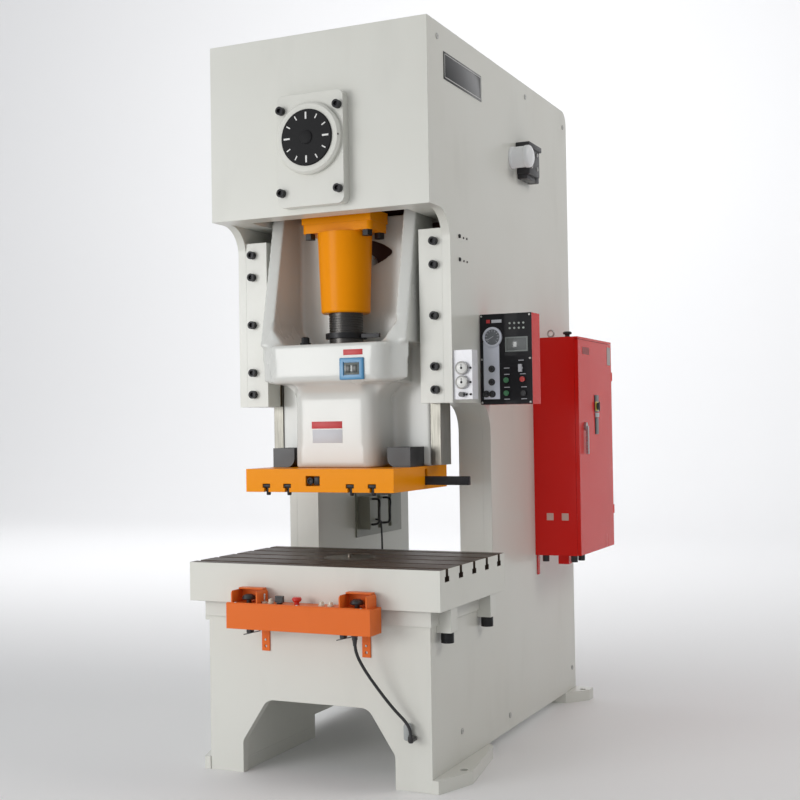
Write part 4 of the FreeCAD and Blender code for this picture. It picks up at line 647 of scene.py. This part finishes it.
slide_enamel = enamel("slide_enamel", coloured(216, 217, 213), coloured(208, 209, 204), sheen=0.22,
                      coat=0.3, rub=0.0)
casting = cast_skin("slide_casting", "slide_body", fills, 0.0075, [
    ((-0.372, -1.0, 1.58), (0.372, -0.80, 1.79)),
    ((-0.372, -1.0, 1.40), (0.372, -0.68, 1.66)),
    ((-0.330, -0.90, 1.845), (-0.225, -0.61, 1.98)),
    ((0.225, -0.90, 1.845), (0.330, -0.61, 1.98)),
])
settle(casting, "slide", slide_enamel, angle=80)

# ==== Slide's rails, trays and fittings ==============================================
# Two ground rails run in the gibs. Black oil trays stand on the plate's corners. The
# block carries a blue-rimmed counter under a bare red strip, and a hexagon filler plug.
rail_steel = bare_metal("rail_steel", coloured(150, 148, 140), coloured(104, 102, 96), 0.34, (6, 6, 0.3),
                        30.0)
paint_node("slide_rails", rail_steel)
paint_node("slide_plate", orange_enamel)
tray_black = moulded("tray_black", (0.018, 0.018, 0.021), 0.4, 0.2, 0.1)
paint_node("oil_trays", tray_black)

COUNTER_LEFT, COUNTER_RIGHT, COUNTER_LOW, COUNTER_HIGH = 0.083, 0.197, 1.695, 1.789
blue_rim = moulded("blue_rim", coloured(70, 140, 185), 0.35, 0.1, 0.2)
screen_glass = moulded("screen_glass", coloured(96, 104, 100), 0.2, 0.02, 0.6)
digit_dark = moulded("digit_dark", coloured(52, 58, 56), 0.3, 0.05)
label_red = moulded("label_red", coloured(200, 52, 56), 0.42, 0.05)
rim = slab("counter_rim", (COUNTER_LEFT, BLOCK_FRONT - 0.010, COUNTER_LOW),
           (COUNTER_RIGHT, BLOCK_FRONT + 0.01, COUNTER_HIGH), 0.004, 3)
for face in rim.data.polygons:
    face.select = face.normal.y < -0.95 and face.area > 0.004
bpy.ops.object.mode_set(mode="EDIT")
bpy.ops.mesh.select_mode(type="FACE")
bpy.ops.mesh.inset(thickness=0.014)
bpy.ops.mesh.extrude_region_move(TRANSFORM_OT_translate={"value": (0, 0.005, 0)})
bpy.ops.object.mode_set(mode="OBJECT")
settle(rim, "slide", blue_rim)
settle(slab("counter_screen", (COUNTER_LEFT + 0.021, BLOCK_FRONT - 0.0065, COUNTER_LOW + 0.021),
            (COUNTER_RIGHT - 0.021, BLOCK_FRONT - 0.004, COUNTER_HIGH - 0.021), 0.0006), "slide",
       screen_glass)
digit = slab("digit", (COUNTER_LEFT + 0.029, BLOCK_FRONT - 0.0075, COUNTER_LOW + 0.030),
             (COUNTER_LEFT + 0.052, BLOCK_FRONT - 0.006, COUNTER_HIGH - 0.030), 0.0008)
settle(merged("counter_digits", [digit, copied(digit, (0.032, 0, 0))]), "slide", digit_dark)
settle(slab("counter_strip", (COUNTER_LEFT + 0.016, BLOCK_FRONT - 0.0015, COUNTER_HIGH + 0.012),
            (COUNTER_RIGHT - 0.006, BLOCK_FRONT + 0.004, COUNTER_HIGH + 0.036), 0.0004), "slide",
       label_red)
settle(stepped("filler_nut", (-0.115, -0.905, BLOCK_TOP - 0.004), (0, 0, 1),
               [(0.024, 0.012), (0.024, 0.014), (0.018, 0.014), (0.018, 0.036), (0.012, 0.040)], 6),
       "slide", black_steel)

# A red strip and a pale card, both bare, are stuck on the neck's front.
label_white = moulded("label_white", coloured(206, 208, 214), 0.45, 0.05)
settle(slab("neck_strip", (-0.100, NECK_FRONT - 0.0015, 1.487), (0.050, NECK_FRONT + 0.004, 1.518), 0.0004),
       "slide", label_red)
settle(slab("neck_card", (-0.096, NECK_FRONT - 0.0015, 1.424), (0.050, NECK_FRONT + 0.004, 1.482), 0.0004),
       "slide", label_white)

# ==== Slide plate hardware ===========================================================
# T-bolts wait in the plate's slots, a clamp screw for the die shank sits in its pocket,
# and the flat knockout bar runs through its slot.
plate_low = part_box("slide_plate")[0]
first_bolt = -0.2554
head = slab("t_head", (first_bolt - 0.017, plate_low.y + 0.003, plate_low.z + 0.0195),
            (first_bolt + 0.017, plate_low.y + 0.036, plate_low.z + 0.033), 0.0015)
shank = stepped("t_shank", (first_bolt, plate_low.y + 0.02, plate_low.z - 0.014), (0, 0, 1),
                [(0.0085, 0.002), (0.0095, 0.004), (0.0095, 0.036)], 20)
bolt = merged("die_bolt", [head, shank])
others = [copied(bolt, (x - first_bolt, 0, 0)) for x in (-0.152, 0.152, 0.2554)]
settle(merged("die_bolts", [bolt, *others]), "slide", black_steel)
POCKET = Vector((-0.026, plate_low.y, 1.2635))
screw = stepped("shank_screw", POCKET + Vector((-0.014, 0.039, 0)), (0, -1, 0),
                [(0.013, 0.022), (0.017, 0.024), (0.017, 0.036), (0.010, 0.037), (0.010, 0.032)], 6)
lock = slab("shank_lock", POCKET + Vector((0.004, 0.004, -0.017)), POCKET + Vector((0.030, 0.040, 0.017)),
            0.003)
settle(merged("shank_clamp", [screw, lock]), "slide", black_steel)
bar_low, bar_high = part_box("knockout_bar")
bar = slab("knockout_flat", bar_low, bar_high, 0.0025)
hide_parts("knockout_bar")
settle(bar, "knockout", black_steel)

# ==== Two-hand console ===============================================================
# Folded sheet box in orange enamel, hung on two straps. Two hooded palm buttons start
# the stroke, and a stop button, switches and lamps stand between them.
console_enamel = enamel("console_enamel", coloured(234, 118, 48), coloured(227, 107, 41), sheen=0.34,
                        coat=0.05, rub=0.2, radius=0.002, gloss=0.15)
button_black = moulded("button_black", (0.012, 0.012, 0.014), 0.32, 0.1, 0.2)
stop_red = moulded("stop_red", coloured(205, 36, 28), 0.28, 0.05, 0.4)
lamp_pale = moulded("lamp_pale", coloured(214, 208, 190), 0.2, 0.05, 0.5)
box_low, box_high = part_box("console_box")
CONSOLE_TOP = 0.756
paint_node("console_box", console_enamel)
for node in ("palm_button_left", "palm_button_right", "console_selector"):
    paint_node(node, button_black)
paint_node("emergency_button", stop_red)
paint_node("console_toggle", bright_steel)
paint_node("console_fittings", lamp_pale)
paint_node("cable_glands", button_black)

# A lid flange overhangs the box, held by small bright screws; two more stand on each hood.
flange = slab("lid_flange", (box_low.x + 0.001, box_low.y + 0.001, CONSOLE_TOP - 0.001),
              (box_high.x - 0.001, box_low.y + 0.012, CONSOLE_TOP + 0.004), 0.0015)
settle(flange, "frame", console_enamel)
small = stepped("lid_screw", (-0.295, box_low.y + 0.006, CONSOLE_TOP + 0.0035), (0, 0, 1),
                [(0.005, 0.0015), (0.004, 0.003), (0.002, 0.003), (0.0016, 0.002)], 16)
lids = [copied(small, (x + 0.295, 0, 0)) for x in (0.0, 0.295)]
strap = [copied(small, Matrix.Translation((x, -1.0665, z)) @ Matrix.Rotation(math.radians(90), 4, "X")
                @ Matrix.Translation((0.295, -box_low.y - 0.006, -CONSOLE_TOP - 0.0035)))
         for x in (-0.241, 0.241) for z in (0.625, 0.583)]
settle(merged("console_screws", [small, *lids, *strap]), "frame", bright_steel)

# Two-pole contact blocks hang under the buttons, on a slanted clip with a bright screw.
contact_block = slab("contact_block", (-0.262, -1.190, 0.628), (-0.240, -1.160, 0.652), 0.003)
clip = slab("contact_clip", (-0.285, -1.180, 0.6255), (-0.205, -1.168, 0.6295), 0.001)
clip.data.transform(Matrix.Translation((-0.25, 0, 0.632)) @ Matrix.Rotation(math.radians(-14), 4, "Y")
                    @ Matrix.Translation((0.25, 0, -0.632)))
contacts = merged("contacts", [contact_block, clip])
settle(merged("contact_blocks", [contacts, copied(contacts, (0.443, 0, 0))]), "frame",
       button_black)

# The cable's strain relief is a tapered rubber tail under the gland.
relief = stepped("strain_relief", (0.243, -1.175, 0.652), (0, 0, -1),
                 [(0.0145, 0.006), (0.0145, 0.014), (0.0115, 0.016), (0.0105, 0.026), (0.0085, 0.040),
                  (0.0072, 0.052)], 28)
settle(relief, "frame", button_black)

# ==== Cable inlet ====================================================================
# A grey oblong cover on the base, with a black elbow beside it that takes the cable.
inlet_low, inlet_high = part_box("cable_inlet")
inlet_grey = enamel("inlet_grey", coloured(176, 180, 180), coloured(160, 164, 164), sheen=0.4)
cover = slab("inlet_cover", (inlet_low.x, inlet_high.y - 0.030, inlet_low.z),
             (inlet_low.x + 0.034, inlet_high.y, inlet_high.z - 0.004), 0.012, 5)
settle(cover, "frame", inlet_grey)
CABLE_END = Vector(CABLE_ROUTE[-1])
elbow = stepped("inlet_elbow", CABLE_END + Vector((0, 0, -0.024)), (0, 0, 1),
                [(0.010, 0.003), (0.0125, 0.006), (0.0125, 0.024), (0.0095, 0.027), (0.0090, 0.032)], 28)
arm = slab("inlet_arm", CABLE_END + Vector((-0.0095, -0.004, -0.022)),
           (CABLE_END.x + 0.0095, inlet_high.y, CABLE_END.z - 0.004), 0.005, 3)
inlet = merged("inlet_elbow", [elbow, arm])
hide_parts("cable_inlet")
settle(inlet, "frame", button_black)

# ==== Gauge box ======================================================================
# White enamelled box on the cheek. It has two pressure gauges with bright rims, a
# regulator knob, and small black plugs beside them.
gauge_enamel = enamel("gauge_enamel", coloured(236, 236, 240), coloured(226, 226, 232), sheen=0.25,
                      coat=0.4)
paint_node("gauge_box", gauge_enamel)
paint_node("regulator_knob", button_black)
gauge_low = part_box("gauge_box")[0]
GAUGE_X, GAUGE_HIGH, GAUGE_STEP = 0.572, 1.737, -0.061
ring = stepped("gauge_ring", (GAUGE_X, gauge_low.y + 0.010, GAUGE_HIGH), (0, -1, 0),
               [(0.0285, 0.006), (0.0285, 0.013), (0.0245, 0.015), (0.0225, 0.012)], 48)
settle(merged("gauge_rims", [ring, copied(ring, (0, 0, GAUGE_STEP))]), "frame",
       bright_steel)
gauge_card = moulded("gauge_card", coloured(225, 225, 222), 0.3, 0.03, 0.5)
card = stepped("gauge_card", (GAUGE_X, gauge_low.y, GAUGE_HIGH), (0, -1, 0),
               [(0.0225, 0.0025), (0.0215, 0.003)], 40)
settle(merged("gauge_cards", [card, copied(card, (0, 0, GAUGE_STEP))]), "frame",
       gauge_card)
hub = stepped("gauge_hub", (GAUGE_X, gauge_low.y - 0.0018, GAUGE_HIGH), (0, -1, 0),
              [(0.0055, 0.0015), (0.004, 0.003)], 20)
hand = slab("gauge_hand", (GAUGE_X - 0.0012, gauge_low.y - 0.0044, GAUGE_HIGH),
            (GAUGE_X + 0.0012, gauge_low.y - 0.0034, GAUGE_HIGH + 0.017), 0.0003, 1)
pointer = merged("gauge_hand", [hub, hand])
plug = stepped("side_plug", (GAUGE_X + 0.036, gauge_low.y + 0.0145, GAUGE_HIGH), (0, -1, 0),
               [(0.005, 0.003), (0.0035, 0.008)], 16)
pins = [copied(plug, (x, 0, z)) for x, z in ((-0.001, GAUGE_STEP), (-0.018, -0.113), (0.0, -0.113))]
settle(merged("gauge_hands", [pointer, copied(pointer, (0, 0, GAUGE_STEP)), plug, *pins]), "frame",
       black_steel)

# ==== Control panel ==================================================================
# Red sheet case with a black front. A tonnage dial, a silver strip with rotary switches,
# a display, two rows of lamps and small push buttons are set in the front.
cabinet_enamel = enamel("cabinet_enamel", coloured(224, 34, 28), coloured(212, 27, 23), sheen=0.2,
                        coat=0.12, rub=0.12, gloss=0.15)
panel_low, panel_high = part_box("control_panel")
FACE_DEPTH = 0.0045
panel_finish, tree, shader = material_parts("panel_finish")
spray = place_group(tree, sprayed, Tone=coloured(224, 34, 28), Shade=coloured(212, 27, 23),
                    Smudge=coloured(150, 16, 15), Sheen=0.2)
rub_node = place_group(tree, rubbed, Radius=0.002, Break_up=26.0)
spot = tree.nodes.new("ShaderNodeSeparateXYZ")
tree.links.new(tree.nodes.new("ShaderNodeTexCoord").outputs["Object"], spot.inputs["Vector"])
on_face = math_node(tree, "LESS_THAN", spot.outputs["Y"], panel_low.y + FACE_DEPTH)
face_tone = blend_colours(tree, noise(tree, 30.0), (0.014, 0.014, 0.016), (0.022, 0.022, 0.025))
worn = blend_colours(tree, math_node(tree, "MULTIPLY", rub_node.outputs["Mask"], 0.3),
                     spray.outputs["Color"], (0.25, 0.22, 0.2))
tree.links.new(blend_colours(tree, on_face, worn, face_tone), shader.inputs["Base Color"])
tree.links.new(math_node(tree, "ADD", spray.outputs["Roughness"],
                         math_node(tree, "MULTIPLY", on_face, 0.18)), shader.inputs["Roughness"])
shader.inputs["Coat Weight"].default_value = 0.05
shader.inputs["Specular IOR Level"].default_value = 0.12
add_bump(tree, shader, spray.outputs["Height"], 0.05, 0.001, rub_node.outputs["Normal"])
paint_node("control_panel", panel_finish)
key_green = moulded("key_green", coloured(70, 130, 90), 0.3, 0.05, 0.3)
for node, material in (("panel_selector", label_white), ("panel_button_a", key_green),
                       ("panel_button_b", stop_red), ("panel_button_c", key_green),
                       ("panel_button_d", button_black)):
    paint_node(node, material)

FACE = panel_low.y
silver_strip = bare_metal("silver_strip", coloured(226, 229, 238), coloured(204, 208, 222), 0.4, (1, 1, 20),
                          metal=0.3, bump=0.05)
settle(slab("panel_strip", (0.547, FACE - 0.0012, 1.607), (0.623, FACE + 0.002, 1.866), 0.0005), "frame",
       silver_strip)
DIAL = Vector((0.592, FACE, 1.886))
bezel = stepped("load_bezel", DIAL + Vector((0, 0.004, 0)), (0, -1, 0),
                [(0.046, 0.008), (0.045, 0.012), (0.036, 0.013), (0.035, 0.009)], 56)
settle(bezel, "frame", silver_strip)
settle(stepped("load_card", DIAL + Vector((0, -0.0045, 0)), (0, -1, 0), [(0.0352, 0.001), (0.030, 0.0016)],
               48), "frame", moulded("load_card", coloured(104, 108, 114), 0.28, 0.03, 0.5))
mark = slab("load_mark", (-0.0009, -0.0068, 0.0245), (0.0009, -0.0058, 0.0335), 0.0002, 1)
SCALE_START, SCALE_END, SCALE_STEP = -135, 135, 27
marks = []
for degrees in range(SCALE_START, SCALE_END + 1, SCALE_STEP):
    turned = Matrix.Translation(DIAL) @ Matrix.Rotation(math.radians(degrees), 4, "Y")
    marks.append(copied(mark, turned))
hand = slab("load_hand", (-0.0012, -0.0080, -0.006), (0.0012, -0.0070, 0.030), 0.0003, 1)
hand.data.transform(Matrix.Translation(DIAL) @ Matrix.Rotation(math.radians(-118), 4, "Y"))
bpy.data.objects.remove(mark)
settle(merged("load_marks", [hand, *marks]), "frame", label_white)

knob = stepped("strip_knob", (0.587, FACE, 1.743), (0, -1, 0),
               [(0.0155, 0.004), (0.0155, 0.006), (0.0115, 0.007), (0.0105, 0.018), (0.009, 0.020)], 28)
grip = slab("knob_grip", (0.5845, FACE - 0.0235, 1.7335), (0.5895, FACE - 0.0185, 1.7525), 0.001)
knob = merged("strip_knobs", [knob, grip])
more = [copied(knob, (x - 0.587, 0, z - 1.743)) for x,
        z in ((0.586, 1.684), (0.559, 1.631), (0.588, 1.630))]
settle(merged("strip_knobs", [knob, *more]), "frame", button_black)
rim = slab("screen_rim", (0.652, FACE - 0.004, 1.817), (0.759, FACE + 0.002, 1.884), 0.0015)
for face in rim.data.polygons:
    face.select = face.normal.y < -0.95 and face.area > 0.002
bpy.ops.object.mode_set(mode="EDIT")
bpy.ops.mesh.select_mode(type="FACE")
bpy.ops.mesh.inset(thickness=0.005)
bpy.ops.mesh.extrude_region_move(TRANSFORM_OT_translate={"value": (0, 0.0025, 0)})
bpy.ops.object.mode_set(mode="OBJECT")
settle(rim, "frame", moulded("screen_rim", coloured(128, 134, 132), 0.4, 0.05, 0.2))
settle(slab("screen_glass", (0.657, FACE - 0.0022, 1.822), (0.754, FACE - 0.0010, 1.879), 0.0004), "frame",
       moulded("panel_glass", coloured(106, 110, 110), 0.15, 0.02, 0.7))
lamp = stepped("panel_lamp", (0.675, FACE + 0.001, 1.945), (0, -1, 0),
               [(0.0050, 0.003), (0.0045, 0.0045), (0.002, 0.005)], 16)
lamps = [copied(lamp, (0.0215 * i, 0, -0.022 * j)) for i in range(4) for j in range(2) if i or j]
settle(merged("panel_lamps", [lamp, *lamps]), "frame",
       moulded("lamp_clear", coloured(176, 184, 178), 0.2, 0.03, 0.5))
bar = slab("legend_bar", (0.588, FACE - 0.001, 1.950), (0.636, FACE + 0.001, 1.964), 0.0003, 1)
line = slab("legend_line", (-0.013, -0.0008, -0.0016), (0.013, 0.001, 0.0016), 0.0002, 1)
SPOTS = ((0.657, 1.717), (0.733, 1.717), (0.657, 1.659), (0.737, 1.659), (0.657, 1.606), (0.737, 1.606),
         (0.725, 1.778), (0.657, 1.745))
legends = [copied(line, (x, FACE, z)) for x, z in SPOTS]
bpy.data.objects.remove(line)
settle(merged("panel_legends", [bar, *legends]), "frame", label_white)
settle(slab("legend_square", (0.563, FACE - 0.001, 1.949), (0.581, FACE + 0.001, 1.965), 0.0003, 1),
       "frame", label_red)
corner = stepped("panel_screw", (panel_low.x + 0.009, FACE + 0.001, panel_low.z + 0.009), (0, -1, 0),
                 [(0.005, 0.002), (0.0042, 0.0035), (0.002, 0.0035), (0.0016, 0.0022)], 18)
wide, tall = panel_high.x - panel_low.x - 0.018, panel_high.z - panel_low.z - 0.018
corners = [copied(corner, (i * wide, 0, j * tall / 2)) for i in range(2) for j in range(3) if i or j]
settle(merged("panel_screws", [corner, *corners]), "frame", bright_steel)

# ==== Electrical cabinet =============================================================
# Folded sheet cabinet in glossy red enamel on the right side plate. Its door is hinged at
# the rear edge, and holds the main switch and a lever lock.
door_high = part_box("cabinet_door")[1]
case_low, case_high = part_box("cabinet_body")
paint_node("cabinet_body", cabinet_enamel)
paint_node("cabinet_door", cabinet_enamel)
lever_grey = bare_metal("lever_grey", (0.50, 0.51, 0.52), (0.36, 0.37, 0.38), 0.3, (1, 1, 12))
paint_node("door_handle", lever_grey)
gear_grey = moulded("gear_grey", coloured(150, 152, 146), 0.5)
paint_node("cabinet_gear", gear_grey)

LEAF = door_high.x - 0.0025
SWITCH = Vector((LEAF, 0.596, 1.585))
plate = slab("switch_plate", SWITCH + Vector((-0.0005, -0.036, -0.036)),
             SWITCH + Vector((0.004, 0.036, 0.052)), 0.002)
tail = slab("switch_tail", SWITCH + Vector((-0.0005, -0.030, -0.150)),
            SWITCH + Vector((0.0035, 0.030, -0.064)), 0.002)
settle(merged("switch_plates", [plate, tail]), "door", button_black)
yellow = moulded("switch_yellow", coloured(214, 190, 40), 0.35, 0.05, 0.3)
settle(slab("switch_card", SWITCH + Vector((0.003, -0.028, -0.030)),
            SWITCH + Vector((0.0052, 0.028, 0.018)), 0.0008), "door", yellow)
hub = stepped("switch_hub", SWITCH + Vector((0.004, 0, -0.006)), (1, 0, 0),
              [(0.019, 0.004), (0.018, 0.010), (0.014, 0.012)], 36)
grip = slab("switch_grip", SWITCH + Vector((0.014, -0.006, -0.030)),
            SWITCH + Vector((0.0195, 0.006, 0.018)), 0.002)
settle(merged("main_switch", [hub, grip]), "door", button_black)
settle(slab("switch_bar", SWITCH + Vector((0.0005, -0.034, -0.062)),
            SWITCH + Vector((0.006, 0.034, -0.040)), 0.0012), "door", lever_grey)
settle(slab("door_card", (LEAF - 0.0005, 0.815, 1.800), (LEAF + 0.0012, 0.880, 1.895), 0.0004, 1), "door",
       moulded("door_card", coloured(170, 160, 158), 0.4, 0.03))
settle(slab("door_strip", (LEAF - 0.0005, 0.360, 1.840), (LEAF + 0.0010, 0.480, 1.876), 0.0004, 1), "door",
       moulded("door_strip", coloured(150, 26, 24), 0.4, 0.03))

# Two pale cards, left bare, are stuck low on the cabinet's front. A knob and an eye stand
# on its roof.
card = slab("front_card", (0.592, case_low.y - 0.001, 1.010), (0.628, case_low.y + 0.003, 1.046), 0.008, 3)
settle(merged("front_cards", [card, copied(card, (0.078, 0, 0))]), "frame",
       moulded("front_card", coloured(214, 178, 168), 0.4, 0.03))
ROOF = case_high.z
knob = stepped("roof_knob", (0.700, 0.335, ROOF - 0.001), (0, 0, 1),
               [(0.020, 0.003), (0.012, 0.005), (0.012, 0.014), (0.022, 0.017), (0.022, 0.026),
                (0.016, 0.030)], 28)
settle(knob, "frame", button_black)
bpy.ops.object.select_all(action="DESELECT")
bpy.ops.mesh.primitive_torus_add(major_radius=0.016, minor_radius=0.0045, major_segments=36,
                                 minor_segments=12, location=(0.615, 0.330, ROOF + 0.022),
                                 rotation=(math.radians(90), 0, 0))
eye_ring = piece_from_operator("roof_eye")
bpy.ops.object.transform_apply(location=True, rotation=True, scale=True)
eye_foot = stepped("eye_foot", (0.615, 0.330, ROOF - 0.001), (0, 0, 1),
                   [(0.015, 0.003), (0.013, 0.005), (0.006, 0.007), (0.0055, 0.010)], 24)
settle(merged("roof_eye", [eye_ring, eye_foot]), "frame", bright_steel)

# ==== Lubricator =====================================================================
# An oil pump hangs high on the right side plate: a dark pump block with bright fittings,
# and a white reservoir lying beside it.
lube_low, lube_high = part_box("lube_unit")
PUMP_LOW, PUMP_HIGH = Vector((side_face, 0.085, 2.700)), Vector((side_face + 0.072, 0.285, 2.885))
pump = slab("pump_block", PUMP_LOW + Vector((0, 0.012, 0.020)), PUMP_HIGH - Vector((0.006, 0.030, 0.030)),
            0.006, 3)
lid = slab("pump_lid", PUMP_LOW + Vector((0, 0.0, 0.150)), PUMP_HIGH - Vector((0.0, 0.012, 0.008)), 0.004,
           3)
flank = slab("pump_flank", PUMP_LOW + Vector((0, 0.150, 0.0)), PUMP_HIGH - Vector((0.020, 0.0, 0.060)),
             0.004, 3)
foot = slab("pump_foot", PUMP_LOW + Vector((0, 0.02, 0.0)), PUMP_LOW + Vector((0.050, 0.160, 0.030)), 0.004,
            3)
pump = merged("lube_pump", [pump, lid, flank, foot])
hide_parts("lube_unit")
settle(pump, "frame", tray_black)
port = stepped("pump_port", PUMP_LOW + Vector((0.020, 0.040, 0.002)), (0, 0, -1),
               [(0.007, 0.0012), (0.006, 0.0018)], 18)
bolt = stepped("pump_bolt", PUMP_LOW + Vector((0.065, 0.045, 0.060)), (1, 0, 0),
               [(0.010, 0.003), (0.009, 0.0055), (0.004, 0.0055), (0.0036, 0.003)], 24)
bolts = [copied(bolt, (0, y, z)) for y, z in ((0.085, 0.0), (0.0, 0.07), (0.085, 0.07))]
settle(merged("pump_bolts", [port, bolt, *bolts]), "frame", bright_steel)
jar_white = moulded("jar_white", coloured(238, 240, 242), 0.25, 0.03, 0.4)
jar = stepped("lube_jar", (side_face, 0.0295, 2.790), (1, 0, 0),
              [(0.0545, 0.012), (0.0515, 0.014), (0.0515, 0.070), (0.0545, 0.073), (0.0545, 0.090),
               (0.050, 0.097), (0.036, 0.104), (0.012, 0.108)], 56, 0.0012)
settle(jar, "frame", jar_white)

# ==== Valve box ======================================================================
# Air valves on the inner wall of the left column, in a grey-green housing with a white
# silencer. Bent pipes join them.
valve_green = enamel("valve_green", coloured(150, 152, 140), coloured(132, 134, 124), sheen=0.4)
paint_node("valve_box", valve_green)
valve_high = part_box("valve_box")[1]
silencer = stepped("silencer", (valve_high.x - 0.035, 0.190, 1.055), (0, 0, 1),
                   [(0.010, 0.006), (0.016, 0.008), (0.016, 0.060), (0.010, 0.064), (0.006, 0.066)], 24)
settle(silencer, "frame", jar_white)


def bent_pipe(name, route, radius):
    """A rigid pipe along a smooth route, made into a mesh."""
    line = bpy.data.curves.new(name, "CURVE")
    line.dimensions = "3D"
    line.bevel_depth = radius
    line.bevel_resolution = 5
    line.use_fill_caps = True
    spline = line.splines.new("NURBS")
    spline.points.add(len(route) - 1)
    for point, spot in zip(spline.points, route):
        point.co = (*spot, 1)
    spline.order_u = 3
    spline.use_endpoint_u = True
    bpy.ops.object.select_all(action="DESELECT")
    holder = bpy.data.objects.new(name, line)
    scene.collection.objects.link(holder)
    bpy.context.view_layer.objects.active = holder
    holder.select_set(True)
    bpy.ops.object.convert(target="MESH")
    return piece_from_operator(name)


V = valve_high.x
pipe = bent_pipe("air_pipe",
                 ((V - 0.012, 0.120, 0.985), (V + 0.030, 0.115, 0.985), (V + 0.050, 0.110, 1.000),
                  (V + 0.050, 0.105, 1.060), (V + 0.050, 0.120, 1.110), (V + 0.020, 0.130, 1.120),
                  (V - 0.012, 0.130, 1.115)), 0.006)
second = copied(pipe, (0, 0.130, 0))
down = bent_pipe("drain_pipe",
                 ((V - 0.012, 0.165, 1.010), (V + 0.024, 0.165, 1.008), (V + 0.036, 0.165, 0.990),
                  (V + 0.036, 0.165, 0.800)), 0.005)
settle(merged("air_pipes", [pipe, second, down]), "frame", button_black)
